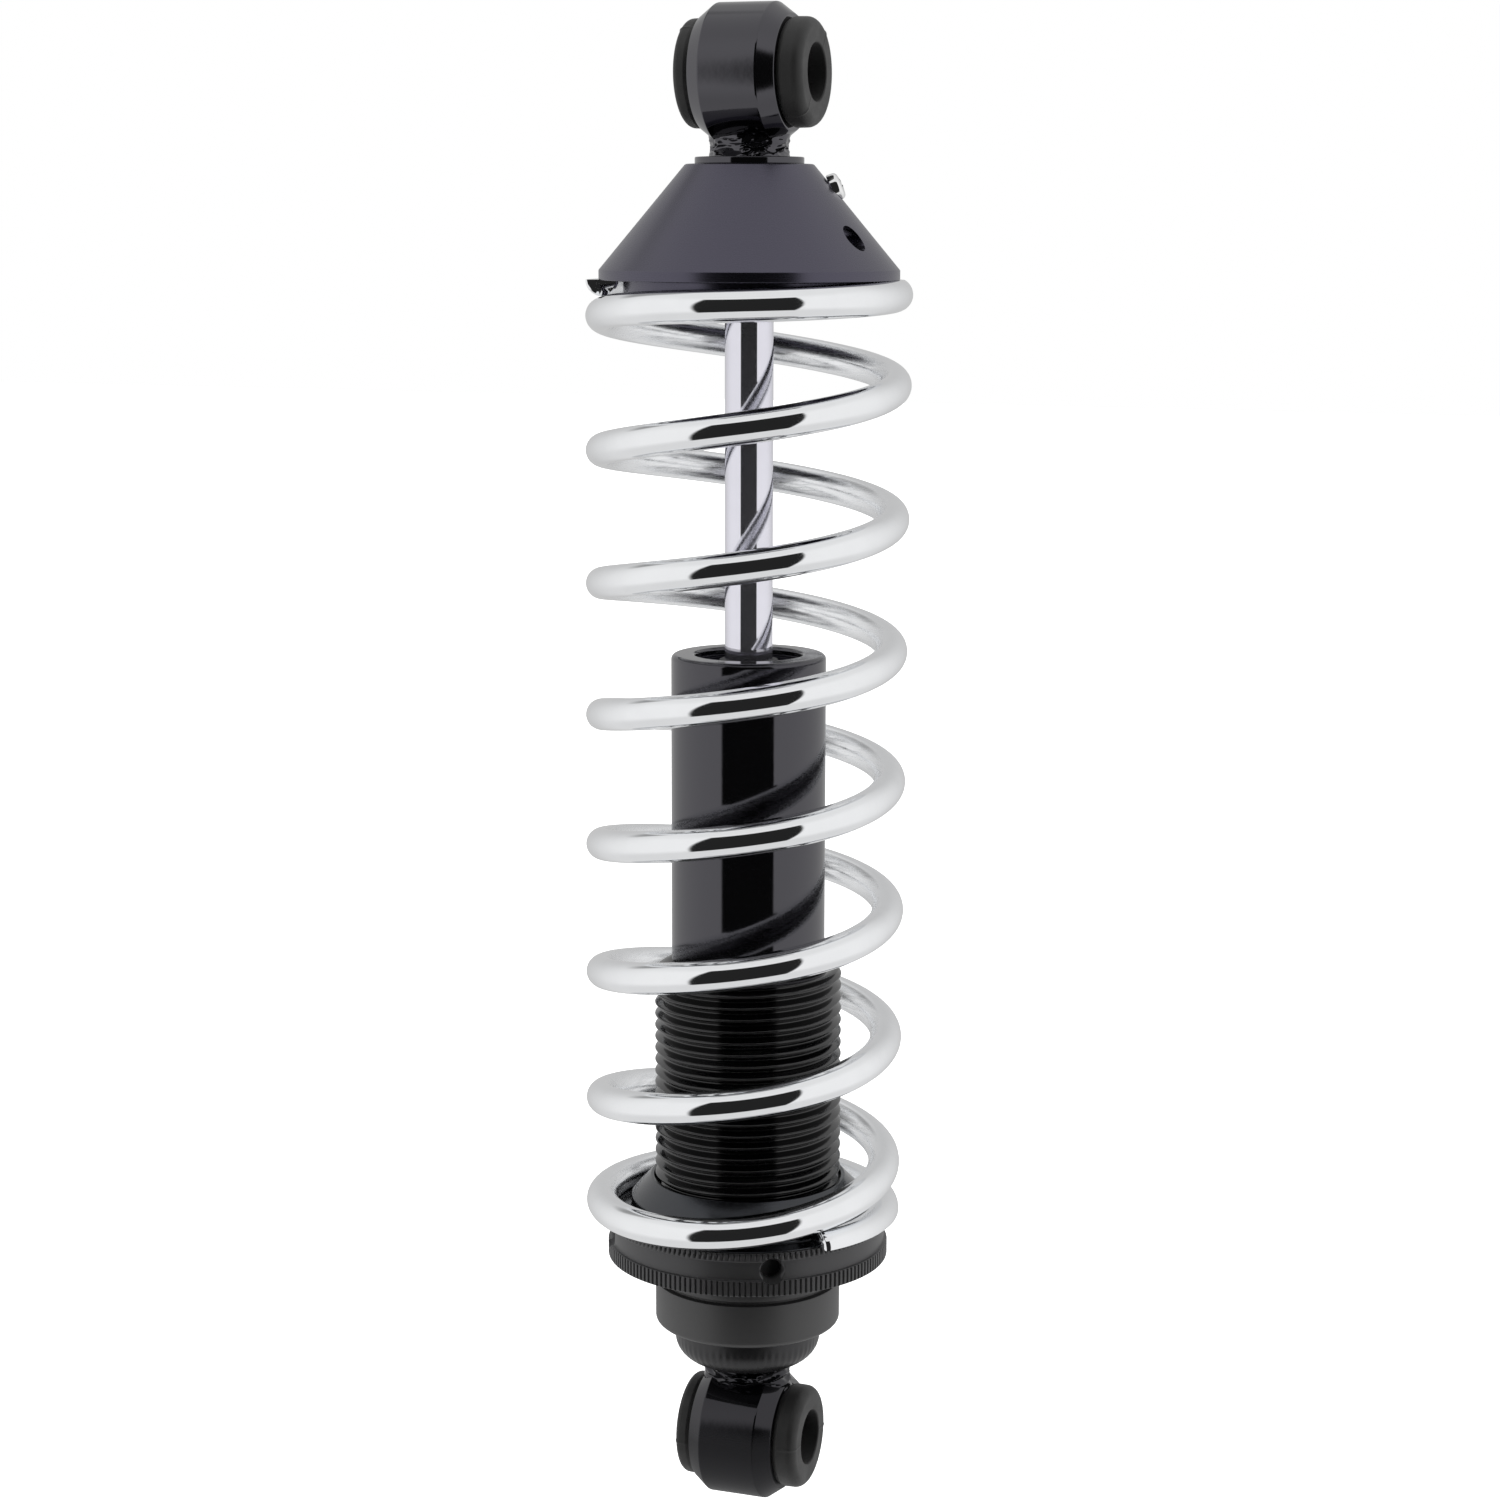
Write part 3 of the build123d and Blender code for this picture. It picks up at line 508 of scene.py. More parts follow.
# ---- spring ------------------------------------------------------------------------------------
SPRING_LOW, SPRING_HIGH = height_span("spring")
WIRE_RADIUS = 4 * MM
COIL_RADIUS = 36.25 * MM
SPRING_SHIFT = 1.3 * MM               # the loose lower end rests against one side of its spigot
SHIFT_ANGLE = math.radians(200)
SPRING_TURNS = 8.66
SPRING_START = math.radians(-38)
CLOSED_PITCH = (4.6 * MM, 6.93 * MM)  # bottom and top
CLOSED_TURNS = (0.875, 0.925)
PITCH_CHANGE = 0.25                   # turns over which a closed coil opens
SPRING_SPLIT = 1.9                    # turns from the bottom tip to where the two pieces meet
RIGID_TURNS = 1.1                     # turns at each end that ride with their seat
RINGS_PER_TURN = 96
WIRE_SIDES = 40
WIRE_EDGE = 0.35 * MM                 # rounding of the cut ends


def closed_rise(turn, closed_pitch, closed_turns, pitch):
    """Height of the wire above its tip: a closed coil that opens to the full pitch."""
    start = closed_turns - PITCH_CHANGE / 2
    share = min(max((turn - start) / PITCH_CHANGE, 0), 1)
    eased = PITCH_CHANGE * (share ** 3 - share ** 4 / 2)
    beyond = max(turn - start - PITCH_CHANGE, 0)
    return closed_pitch * turn + (pitch - closed_pitch) * (eased + beyond)


def full_pitch():
    """Pitch of the open coils, so that the spring fills the space between its seats."""
    closed = sum(p * t for p, t in zip(CLOSED_PITCH, CLOSED_TURNS))
    return (SPRING_HIGH - SPRING_LOW - closed) / (SPRING_TURNS - sum(CLOSED_TURNS))


def wire_point(turn):
    """Middle of the wire at a number of turns from the bottom tip."""
    pitch = full_pitch()
    if turn < SPRING_TURNS / 2:
        z = SPRING_LOW + closed_rise(turn, CLOSED_PITCH[0], CLOSED_TURNS[0], pitch)
    else:
        left = SPRING_TURNS - turn
        z = SPRING_HIGH - closed_rise(left, CLOSED_PITCH[1], CLOSED_TURNS[1], pitch)
    angle = SPRING_START + FULL_TURN * turn
    shift = SPRING_SHIFT * (SPRING_HIGH - z) / (SPRING_HIGH - SPRING_LOW)
    x = COIL_RADIUS * math.cos(angle) + shift * math.cos(SHIFT_ANGLE)
    y = COIL_RADIUS * math.sin(angle) + shift * math.sin(SHIFT_ANGLE)
    return Vector((x, y, z))


def wire_ring(turn, radius, shift=0.0):
    """Points round the wire, flattened where the ground ends cut it."""
    step = 1e-3
    centre = wire_point(turn)
    tangent = (wire_point(turn + step) - wire_point(turn - step)).normalized()
    outward = Vector((centre.x, centre.y, 0)).normalized()
    upward = outward.cross(tangent)
    if upward.z < 0:
        upward = -upward
    centre = centre + tangent * shift
    ring = []
    for side in range(WIRE_SIDES):
        angle = FULL_TURN * (side + 0.5) / WIRE_SIDES
        point = centre + (outward * math.cos(angle) + upward * math.sin(angle)) * radius
        point.z = min(max(point.z, SPRING_LOW), SPRING_HIGH)
        ring.append(tuple(point))
    return ring


def spring_part(name, start, end, bodies, share):
    """Stretch of the spring whose rings follow the second body by a share of the way."""
    count = round((end - start) * RINGS_PER_TURN)
    turns = [start + (end - start) * index / count for index in range(count + 1)]
    rings = [wire_ring(turn, WIRE_RADIUS) for turn in turns]
    if start == 0:
        rings.insert(0, wire_ring(start, WIRE_RADIUS - WIRE_EDGE, -WIRE_EDGE))
        turns.insert(0, start)
    if end == SPRING_TURNS:
        rings.append(wire_ring(end, WIRE_RADIUS - WIRE_EDGE, WIRE_EDGE))
        turns.append(end)
    points = np.array(rings).reshape(-1, 3)
    faces = grid_faces(len(rings), WIRE_SIDES, False)
    faces.append(tuple(range(WIRE_SIDES)))
    faces.append(tuple(range(len(points) - WIRE_SIDES, len(points))))
    mesh = bpy.data.meshes.new(name)
    mesh.from_pydata([tuple(p) for p in points], [], faces)
    follow = mesh.attributes.new("follow", "FLOAT", "POINT")
    follow.data.foreach_set("value", np.repeat([share(t) for t in turns], WIRE_SIDES))
    tidy_mesh(mesh, 50)
    mesh.materials.append(SPRING_CHROME)
    obj = bpy.data.objects.new(name, mesh)
    bpy.context.scene.collection.objects.link(obj)
    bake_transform(obj, *bodies, start=(0, 0, SPRING_LOW), end=(0, 0, SPRING_HIGH))
    values = np.zeros(len(mesh.vertices), np.float32)
    mesh.attributes["follow"].data.foreach_get("value", values)
    mesh.attributes["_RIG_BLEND"].data.foreach_set("value", values)
    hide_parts("spring")
    return obj


def eased(turn, start, end):
    """Share of the way between two turn counts."""
    return min(max((turn - start) / (end - start), 0), 1)


def build_spring():
    """The spring in two pieces that meet at a coil which stays with the damper body."""
    spring_part(
        "spring_lower_coils", 0, SPRING_SPLIT, ("seat_assembly", "damper_body"),
        lambda turn: eased(turn, RIGID_TURNS, SPRING_SPLIT),
    )
    spring_part(
        "spring_upper_coils", SPRING_SPLIT, SPRING_TURNS, ("damper_body", "rod_assembly"),
        lambda turn: eased(turn, SPRING_SPLIT, SPRING_TURNS - RIGID_TURNS),
    )


# ---- eyes and bushes ---------------------------------------------------------------------------
EYE_RADIUS = 16.9 * MM
EYE_WIDTH = 22.4 * MM
EYE_BORE = 11.5 * MM
EYE_CHAMFER_LENGTH = 3.9 * MM
EYE_CHAMFER_DEPTH = 2.9 * MM
BUSH_GAP = 0.05 * MM
BUSH_SHOULDER = 13.2 * MM
BUSH_BORE = 7 * MM
BUSH_ROUNDING = 3.4 * MM
BUSH_PUSH = 1.0 * MM                  # both bush pairs sit this far toward +X in their rings
SEAM_HEIGHT = 0.14 * MM
SEAM_ANGLE = math.radians(1.3)
UPPER_BUSH_SEAM = math.radians(324)
LOWER_BUSH_SEAM = math.radians(266)
UPPER_EYE_Z = 347 * MM


def eye_ring(z):
    """Ring of an eye with chamfered ends."""
    half = EYE_WIDTH / 2
    outline = rounded([
        (EYE_BORE, -half, 0.4 * MM), (EYE_RADIUS - EYE_CHAMFER_DEPTH, -half, 0.5 * MM),
        (EYE_RADIUS, EYE_CHAMFER_LENGTH - half, 0.7 * MM),
        (EYE_RADIUS, half - EYE_CHAMFER_LENGTH, 0.7 * MM),
        (EYE_RADIUS - EYE_CHAMFER_DEPTH, half, 0.5 * MM), (EYE_BORE, half, 0.4 * MM),
    ])
    return spun(outline, 192, place=along_x(z))


def bush_shape(line):
    """Shape that raises the thin parting line that the mould leaves across a bush."""
    def shape(radius, angle, height):
        seam = np.zeros_like(radius)
        for middle in (line, line + math.pi):
            away = np.abs((angle - middle + math.pi) % FULL_TURN - math.pi)
            seam = seam + np.exp(-(away / SEAM_ANGLE) ** 2)
        lift = SEAM_HEIGHT * seam * np.clip((radius - BUSH_BORE) / MM, 0, 1)
        return radius + lift, height + lift
    return shape


def bush(name, node, z, side, body, seam):
    """Half of a shouldered rubber bush pair."""
    low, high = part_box(node)
    near = min(abs(low.x), abs(high.x))
    far = max(abs(low.x), abs(high.x)) - SEAM_HEIGHT
    face = EYE_WIDTH / 2 - side * BUSH_PUSH
    sleeve = EYE_BORE - BUSH_GAP
    outline = rounded([
        (BUSH_BORE, near, 0), (sleeve, near, 0), (sleeve, face, 0),
        (BUSH_SHOULDER - 0.5 * MM, face, 0.2 * MM), (BUSH_SHOULDER, face + 1.2 * MM, 0.6 * MM),
        (BUSH_SHOULDER - 0.1 * MM, far, BUSH_ROUNDING), (BUSH_BORE, far, 0.4 * MM),
    ], 8)
    place = Matrix.Translation((BUSH_PUSH, 0, 0)) @ along_x(z, side)
    shell = spun(outline, 288, shape=bush_shape(seam), place=place)
    return even_shading(piece(name, [shell], RUBBER, body, (node,)))


SWIRL_OFFSETS = (0, 17.3, 41.9)       # far enough apart for unrelated noise
NECK_FLATTENING = 0.28                # the neck is thinner front to back where it meets the ring
NECK_SINK = 0.9 * MM                  # how far the neck reaches into the ring
FOLD_WIDTH = 4.6 * MM                 # size of the folds in the weld bead
FOLD_HEIGHT = 2.1 * MM
FOLD_DEPTH = 0.75 * MM


def swirled(spot):
    """The point pushed aside by noise along each axis, so that the folds curl."""
    pushes = [noise.noise(spot * 0.7 + Vector((0, 0, apart))) for apart in SWIRL_OFFSETS]
    return spot + Vector(pushes) * 0.8


def lumpy_neck(z_eye, z_flange, radius, flare, seed):
    """Neck between an eye ring and a flange under a hand-laid weld bead, one closed shell."""
    toward = 1 if z_eye > z_flange else -1
    segments, rows = 240, 44
    angle = np.linspace(0, FULL_TURN, segments, endpoint=False)
    points = []
    for row in range(rows):
        t = row / (rows - 1)
        for a in angle:
            base = radius + flare * ((1 - t) ** 4 * 0.55 + t ** 3)
            flat = 1 - NECK_FLATTENING * t
            x, y = base * math.cos(a), base * flat * math.sin(a)
            ring = EYE_RADIUS - 0.75 * max(abs(x) - (EYE_WIDTH / 2 - EYE_CHAMFER_LENGTH), 0)
            top = z_eye - toward * math.sqrt(ring ** 2 - min(abs(y), ring * 0.98) ** 2)
            top += toward * NECK_SINK
            z = z_flange + (top - z_flange) * t
            spot = Vector((x / FOLD_WIDTH + seed, y / FOLD_WIDTH, z / FOLD_HEIGHT))
            fold = 1 - 2 * abs(noise.noise(swirled(spot))) + 0.25 * noise.noise(spot * 3)
            base += FOLD_DEPTH * fold * math.sin(math.pi * min(t * 1.08, 1)) ** 0.5
            points.append((base * math.cos(a), base * flat * math.sin(a), z))
    faces = grid_faces(rows, segments, False)
    faces.append(tuple(range(segments)))
    faces.append(tuple(range((rows - 1) * segments, rows * segments)))
    return np.array(points), faces


FLANGE_RADIUS = 13.4 * MM
FLANGE_THICKNESS = 1.7 * MM
STEM_RADIUS = 10 * MM
STEM_BORE = 5 * MM
UPPER_NECK = (8.8 * MM, 1.9 * MM, 3.0)     # radius, flare and the folds' own seed
LOWER_NECK = (10.3 * MM, 1.7 * MM, 11.0)


def build_upper_eye():
    """Upper eye: ring, welded neck, flange and stem."""
    stem_low = height_span("upper_eye")[0]
    cap_top = height_span("upper_spring_cap")[1]
    flange_top = cap_top + FLANGE_THICKNESS
    stem = rounded([
        (STEM_BORE, stem_low, 0), (STEM_RADIUS, stem_low, 0.4 * MM), (STEM_RADIUS, cap_top, 0),
        (FLANGE_RADIUS, cap_top, 0.2 * MM), (FLANGE_RADIUS, flange_top, 0.35 * MM),
        (STEM_BORE, flange_top, 0),
    ])
    shells = [
        eye_ring(UPPER_EYE_Z), spun(stem, 160), lumpy_neck(UPPER_EYE_Z, flange_top, *UPPER_NECK),
    ]
    even_shading(piece(
        "upper_eye_welded", shells, PAINT, "rod_assembly", ("upper_eye",)
    ))


def build_lower_eye():
    """Lower eye: ring and welded neck below the base cap."""
    cap_low = height_span("base_cap")[0]
    shells = [eye_ring(0), lumpy_neck(0, cap_low, *LOWER_NECK)]
    even_shading(piece(
        "lower_eye_welded", shells, LOWER_PAINT, "damper_body", ("lower_eye",)
    ))


def build_bushes():
    """Both halves of both bush pairs."""
    ends = (
        ("upper", UPPER_EYE_Z, "rod_assembly", UPPER_BUSH_SEAM),
        ("lower", 0, "damper_body", LOWER_BUSH_SEAM),
    )
    for side, word in ((-1, "left"), (1, "right")):
        for end, z, body, seam in ends:
            bush(f"{end}_bush_{word}_moulded", f"{end}_bush_{word}", z, side, body, seam)


# ---- cap and screw -----------------------------------------------------------------------------
CAP_TOP_RADIUS = 15.7 * MM
CAP_RIM_HEIGHT = 2.4 * MM
CAP_BORE = 10.05 * MM
CAP_SPIGOT_RADIUS = 31 * MM
CAP_HOLLOW_RADIUS = 27 * MM
CAP_HUB_RADIUS = 19 * MM
CAP_HUB_LOW = 310.5 * MM
CAP_HOLE_ANGLE = math.radians(-14.5)
CAP_HOLE_Z = 307.5 * MM
CAP_HOLE_RADIUS = 3 * MM
CAP_HOLE_START = 15 * MM              # from the axis
SCREW_ANGLE = math.radians(16)
SCREW_TILT = math.radians(25)
SCREW_Z = 319.5 * MM
SCREW_SINK = 0.5 * MM
SCREW_RADIUS = 2 * MM
SCREW_LENGTH = 10.2 * MM
SCREW_HOLE_RADIUS = 2.05 * MM
SCREW_FACE_RADIUS = 3.9 * MM          # flat in the cap round the screw's head
SCREW_HEAD_RADIUS = 3.5 * MM
SCREW_HEAD_HEIGHT = 3 * MM
RECESS_ANGLE = 0.35


def screw_seat():
    """Seat point of the lock screw's head and the direction out of the cap."""
    top = height_span("upper_spring_cap")[1]
    rim = outer_radius("upper_spring_cap")
    rim_top = SPRING_HIGH + CAP_RIM_HEIGHT
    share = (top - SCREW_Z) / (top - rim_top)
    radius = CAP_TOP_RADIUS + share * (rim - CAP_TOP_RADIUS)
    out = Vector((math.cos(SCREW_ANGLE), math.sin(SCREW_ANGLE), 0))
    normal = out * math.cos(SCREW_TILT) + Vector((0, 0, math.sin(SCREW_TILT)))
    return out * radius + Vector((0, 0, SCREW_Z)) - normal * SCREW_SINK, normal


def build_cap():
    """Conical cap with its spanner hole and the screw's hole."""
    bottom, top = height_span("upper_spring_cap")
    rim = outer_radius("upper_spring_cap")
    rim_top = SPRING_HIGH + CAP_RIM_HEIGHT
    outline = rounded([
        (CAP_BORE, top, 0.3 * MM), (CAP_TOP_RADIUS, top, 0.9 * MM),
        (rim, rim_top, 0.5 * MM), (rim, SPRING_HIGH, 0.25 * MM),
        (CAP_SPIGOT_RADIUS, SPRING_HIGH, 0.3 * MM), (CAP_SPIGOT_RADIUS, bottom, 0.8 * MM),
        (CAP_HOLLOW_RADIUS, bottom, 0.3 * MM), (CAP_HOLLOW_RADIUS, rim_top, 1 * MM),
        (CAP_HUB_RADIUS, CAP_HUB_LOW, 1 * MM), (CAP_BORE, CAP_HUB_LOW, 0.3 * MM),
    ])
    cap = piece(
        "upper_spring_cap_turned", [spun(outline, 256)], CAP_BLACK, "rod_assembly",
        ("upper_spring_cap",),
    )
    out = Vector((math.cos(CAP_HOLE_ANGLE), math.sin(CAP_HOLE_ANGLE), 0))
    seat, normal = screw_seat()
    hole_start = out * CAP_HOLE_START + Vector((0, 0, CAP_HOLE_Z))
    cut(cap, [
        rod_shell(hole_start, out, CAP_HOLE_RADIUS, 30 * MM),
        rod_shell(seat, normal, SCREW_FACE_RADIUS, 8 * MM),
        rod_shell(seat - normal * 12 * MM, normal, SCREW_HOLE_RADIUS, 14 * MM),
    ])
    even_shading(cap)


def build_screw():
    """Pan head screw with a tapered cross recess."""
    seat, normal = screw_seat()
    outline = rounded([
        (0, -SCREW_LENGTH, 0), (SCREW_RADIUS - 0.4 * MM, -SCREW_LENGTH, 0.2 * MM),
        (SCREW_RADIUS, 0.6 * MM - SCREW_LENGTH, 0), (SCREW_RADIUS, 0, 0),
        (SCREW_HEAD_RADIUS - 0.15 * MM, 0, 0.1 * MM), (SCREW_HEAD_RADIUS, 0.35 * MM, 0.2 * MM),
        (SCREW_HEAD_RADIUS * 0.93, SCREW_HEAD_HEIGHT * 0.82, 1.1 * MM), (0, SCREW_HEAD_HEIGHT, 0),
    ], 8)
    turn = normal.to_track_quat("Z", "Y").to_matrix().to_4x4()
    place = Matrix.Translation(seat) @ turn
    shell = spun(outline, 96, closed=False, place=place)
    screw = piece(
        "cap_lock_screw_cross", [shell], SCREW_CHROME, "rod_assembly",
        ("cap_lock_screw",),
    )
    arms = [recess_arm(place, spin) for spin in (RECESS_ANGLE, RECESS_ANGLE + math.pi / 2)]
    cut(screw, arms, 40)
    even_shading(screw)


def recess_arm(place, spin):
    """Tapered blade that cuts one arm of the cross recess."""
    wide, slim = (2.0 * MM, 0.55 * MM), (1.2 * MM, 0.3 * MM)
    top, bottom = SCREW_HEAD_HEIGHT + 0.3 * MM, SCREW_HEAD_HEIGHT - 1.5 * MM
    corners = []
    for (half_length, half_width), z in ((wide, top), (slim, bottom)):
        for x, y in ((-1, -1), (1, -1), (1, 1), (-1, 1)):
            corners.append(Vector((x * half_length, y * half_width, z)))
    turn = place @ Matrix.Rotation(spin, 4, "Z")
    points = np.array([tuple(turn @ c) for c in corners])
    faces = [(0, 1, 2, 3), (4, 5, 6, 7), (0, 1, 5, 4), (1, 2, 6, 5), (2, 3, 7, 6), (3, 0, 4, 7)]
    return points, faces


# ---- rod, tube and seals -----------------------------------------------------------------------
ROD_RADIUS = 6 * MM
ROD_STUD_RADIUS = 4 * MM
ROD_SHOULDER = 171.5 * MM
ROD_THREAD_RADIUS = 4.95 * MM
ROD_THREAD_LOW = 297.5 * MM


def build_rod():
    """Polished rod with its threaded top and its piston stud."""
    low, high = height_span("piston_rod")
    outline = rounded([
        (0, low, 0), (ROD_STUD_RADIUS, low, 0.4 * MM), (ROD_STUD_RADIUS, ROD_SHOULDER, 0),
        (ROD_RADIUS, ROD_SHOULDER, 0.5 * MM), (ROD_RADIUS, ROD_THREAD_LOW, 0.5 * MM),
        (ROD_THREAD_RADIUS, ROD_THREAD_LOW, 0), (ROD_THREAD_RADIUS, high, 0.5 * MM),
        (0, high, 0),
    ])
    shell = spun(outline, 128, closed=False)
    even_shading(piece(
        "piston_rod_chromed", [shell], ROD_CHROME, "rod_assembly", ("piston_rod",)
    ))


TUBE_BORE = 17 * MM
LIP_OPENING = 13.4 * MM
LIP_THICKNESS = 2.2 * MM


def build_tube():
    """Damper tube with its rolled lip."""
    low, high = height_span("damper_tube")
    radius = outer_radius("damper_tube")
    lip_low = high - LIP_THICKNESS
    outline = rounded([
        (TUBE_BORE, low, 0.2 * MM), (radius, low, 0.3 * MM), (radius, high, 1.3 * MM),
        (LIP_OPENING, high, 0.8 * MM), (LIP_OPENING, lip_low, 0.3 * MM),
        (TUBE_BORE, lip_low, 0.2 * MM),
    ], 8)
    even_shading(piece(
        "damper_tube_painted", [spun(outline, 256)], PAINT, "damper_body",
        ("damper_tube",),
    ))


WIPER_BORE = 6.04 * MM
WIPER_RADIUS = 8.35 * MM
WIPER_LIP_HEIGHT = 1.1 * MM


def build_wiper():
    """Rubber wiper with two lips round the rod."""
    low, high = height_span("wiper_seal")
    top = high - WIPER_LIP_HEIGHT
    outline = rounded([
        (WIPER_BORE, low, 0), (WIPER_RADIUS, low, 0), (WIPER_RADIUS, top, 0.25 * MM),
        (7.6 * MM, top, 0.1 * MM), (7.3 * MM, high - 0.3 * MM, 0.3 * MM),
        (WIPER_BORE, high, 0.15 * MM),
    ])
    even_shading(piece(
        "wiper_seal_lipped", [spun(outline, 128)], SEAL_RUBBER, "damper_body",
        ("wiper_seal",),
    ))


# ---- sleeve, seat, collar and base cap ---------------------------------------------------------
SLEEVE_RADIUS = 23.8 * MM
SLEEVE_BORE = 19.55 * MM
SLEEVE_FOOT_BORE = 20.8 * MM
SLEEVE_FOOT_TOP = 36.1 * MM           # where the wider bore of the foot ends
SLEEVE_CHAMFER = 0.8 * MM
THREAD_PITCH = 3 * MM
THREAD_DEPTH = 1.7 * MM
THREAD_ACROSS = (0, 0.08, 0.16, 0.24, 0.76, 0.84, 0.92, 1)       # from the crest to the groove
THREAD_FORM = (0, 0.016, 0.068, 0.158, 0.842, 0.932, 0.984, 1)   # share of the depth
THREAD_LOW = 46.0 * MM
THREAD_FADE = 1.5 * MM                # height over which the thread runs out
THREAD_ROW = 0.11 * MM                # height between the mesh rows of the thread
RELIEF_HIGH = 43.05 * MM              # plain groove below the thread
RELIEF_LOW = 41.75 * MM
RELIEF_DEPTH = 1.4 * MM


def thread_shape(radius, angle, height):
    """Cuts the right-hand rounded thread into the sleeve's outer wall."""
    phase = (height - THREAD_LOW) / THREAD_PITCH - angle / FULL_TURN
    across = np.abs(2 * (phase - np.floor(phase)) - 1)
    groove = np.interp(across, THREAD_ACROSS, THREAD_FORM)
    fade = np.clip((height - THREAD_LOW) / THREAD_FADE, 0, 1)
    outer = radius > SLEEVE_RADIUS - 0.5 * MM
    return radius - outer * THREAD_DEPTH * groove * fade, height


def build_sleeve():
    """Threaded sleeve, plain below the thread."""
    low, high = height_span("threaded_sleeve")
    relief = SLEEVE_RADIUS - RELIEF_DEPTH
    wall_top = high - SLEEVE_CHAMFER
    head = [
        (SLEEVE_BORE, high - 1.2 * MM), (SLEEVE_FOOT_BORE, high), (22.7 * MM, high),
        (23.2 * MM, high - 0.3 * MM),
    ]
    rows = int((high - THREAD_LOW) / THREAD_ROW)
    wall = [
        (SLEEVE_RADIUS, wall_top - (wall_top - THREAD_LOW) * row / rows) for row in range(rows + 1)
    ]
    foot = rounded([
        (SLEEVE_RADIUS, THREAD_LOW, 0), (SLEEVE_RADIUS, RELIEF_HIGH, 0.15 * MM),
        (relief, RELIEF_HIGH - 0.15 * MM, 0.2 * MM), (relief, RELIEF_LOW + 0.15 * MM, 0.2 * MM),
        (SLEEVE_RADIUS, RELIEF_LOW, 0.15 * MM), (SLEEVE_RADIUS, low, 2 * MM),
        (SLEEVE_FOOT_BORE, low, 0.3 * MM), (SLEEVE_FOOT_BORE, SLEEVE_FOOT_TOP, 0),
        (SLEEVE_BORE, SLEEVE_FOOT_TOP, 0),
    ], 8)[1:]
    outline = np.array(head + wall + [tuple(p) for p in foot])
    shell = spun(outline, 200, shape=thread_shape)
    piece(
        "threaded_sleeve_cut", [shell], SLEEVE_BLACK, "damper_body",
        ("threaded_sleeve",), sharp=48,
    )


SEAT_BORE = 24.05 * MM
SEAT_CONE_RADIUS = 24.9 * MM          # at the cone's top
SEAT_SPIGOT_RADIUS = 30 * MM
SEAT_SPIGOT_TOP = 64.4 * MM
SEAT_FLANGE_RADIUS = 35 * MM


def build_seat():
    """Lower spring seat: thin flange, spigot and cone."""
    low, high = height_span("lower_spring_seat")
    outline = rounded([
        (SEAT_BORE, low, 0), (SEAT_FLANGE_RADIUS, low, 0.2 * MM),
        (SEAT_FLANGE_RADIUS, SPRING_LOW, 0.3 * MM), (SEAT_SPIGOT_RADIUS, SPRING_LOW, 0.5 * MM),
        (SEAT_SPIGOT_RADIUS, SEAT_SPIGOT_TOP, 0.9 * MM), (SEAT_CONE_RADIUS, high, 0.35 * MM),
        (SEAT_BORE, high, 0.2 * MM),
    ])
    even_shading(piece(
        "lower_spring_seat_turned", [spun(outline, 256)], SEAT_BLACK, "seat_assembly",
        ("lower_spring_seat",),
    ))


COLLAR_BORE = 23.9 * MM
COLLAR_GROOVE_RADIUS = 35.2 * MM
COLLAR_RECESS_RADIUS = 35.1 * MM      # holds the seat's flange
COLLAR_RECESS_FLOOR = SPRING_LOW - 1.2 * MM
LOWER_BAND = (48.7 * MM, 52.7 * MM)
UPPER_BAND = (57.7 * MM, 59.9 * MM)
KNURL_TEETH = 160
KNURL_DEPTH = 0.5 * MM
SPANNER_DEGREES = (-60, 30, 120, 210)
SPANNER_Z = 55.2 * MM
SPANNER_START = 31 * MM               # from the axis
SPANNER_HOLE = ((0, 0), (2.6, 0), (2.6, 3.4), (3.4, 4.2), (3.4, 8), (0, 8))


def knurl_shape(radius, angle, height):
    """Cuts grooves into the collar's two bands and leaves flat teeth between them."""
    groove = np.clip(1 - 4 * np.abs((angle * KNURL_TEETH / FULL_TURN) % 1 - 0.5), 0, 1)
    inside = np.zeros_like(radius)
    for low, high in (LOWER_BAND, UPPER_BAND):
        inside += (height > low + 0.25 * MM) & (height < high - 0.15 * MM)
    outer = radius > COLLAR_GROOVE_RADIUS + 0.3 * MM
    return radius - outer * inside * KNURL_DEPTH * groove, height


def build_collar():
    """Preload collar with knurled bands, a smooth groove and spanner holes."""
    low, high = height_span("preload_collar")
    radius = outer_radius("preload_collar")
    outline = rounded([
        (COLLAR_BORE, low, 0.5 * MM), (radius, low, 0.4 * MM), (radius, LOWER_BAND[1], 0.3 * MM),
        (COLLAR_GROOVE_RADIUS, LOWER_BAND[1] + 0.15 * MM, 0.15 * MM),
        (COLLAR_GROOVE_RADIUS, UPPER_BAND[0] - 0.15 * MM, 0.15 * MM),
        (radius, UPPER_BAND[0], 0.3 * MM), (radius, high, 0.35 * MM),
        (COLLAR_RECESS_RADIUS, high, 0.1 * MM), (COLLAR_RECESS_RADIUS, COLLAR_RECESS_FLOOR, 0),
        (COLLAR_BORE, COLLAR_RECESS_FLOOR, 0),
    ], 4)
    shell = spun(stretched(outline, 0.6 * MM), 4 * KNURL_TEETH, shape=knurl_shape)
    collar = piece(
        "preload_collar_knurled", [shell], COLLAR_BLACK, "collar",
        ("preload_collar",), sharp=50,
    )
    hollow = np.array(SPANNER_HOLE) * MM
    holes = []
    for angle in map(math.radians, SPANNER_DEGREES):
        out = Vector((math.cos(angle), math.sin(angle), 0))
        bottom = out * SPANNER_START + Vector((0, 0, SPANNER_Z))
        turn = out.to_track_quat("Z", "Y").to_matrix().to_4x4()
        holes.append(spun(hollow, 48, closed=False, place=Matrix.Translation(bottom) @ turn))
    cut(collar, holes, 50)


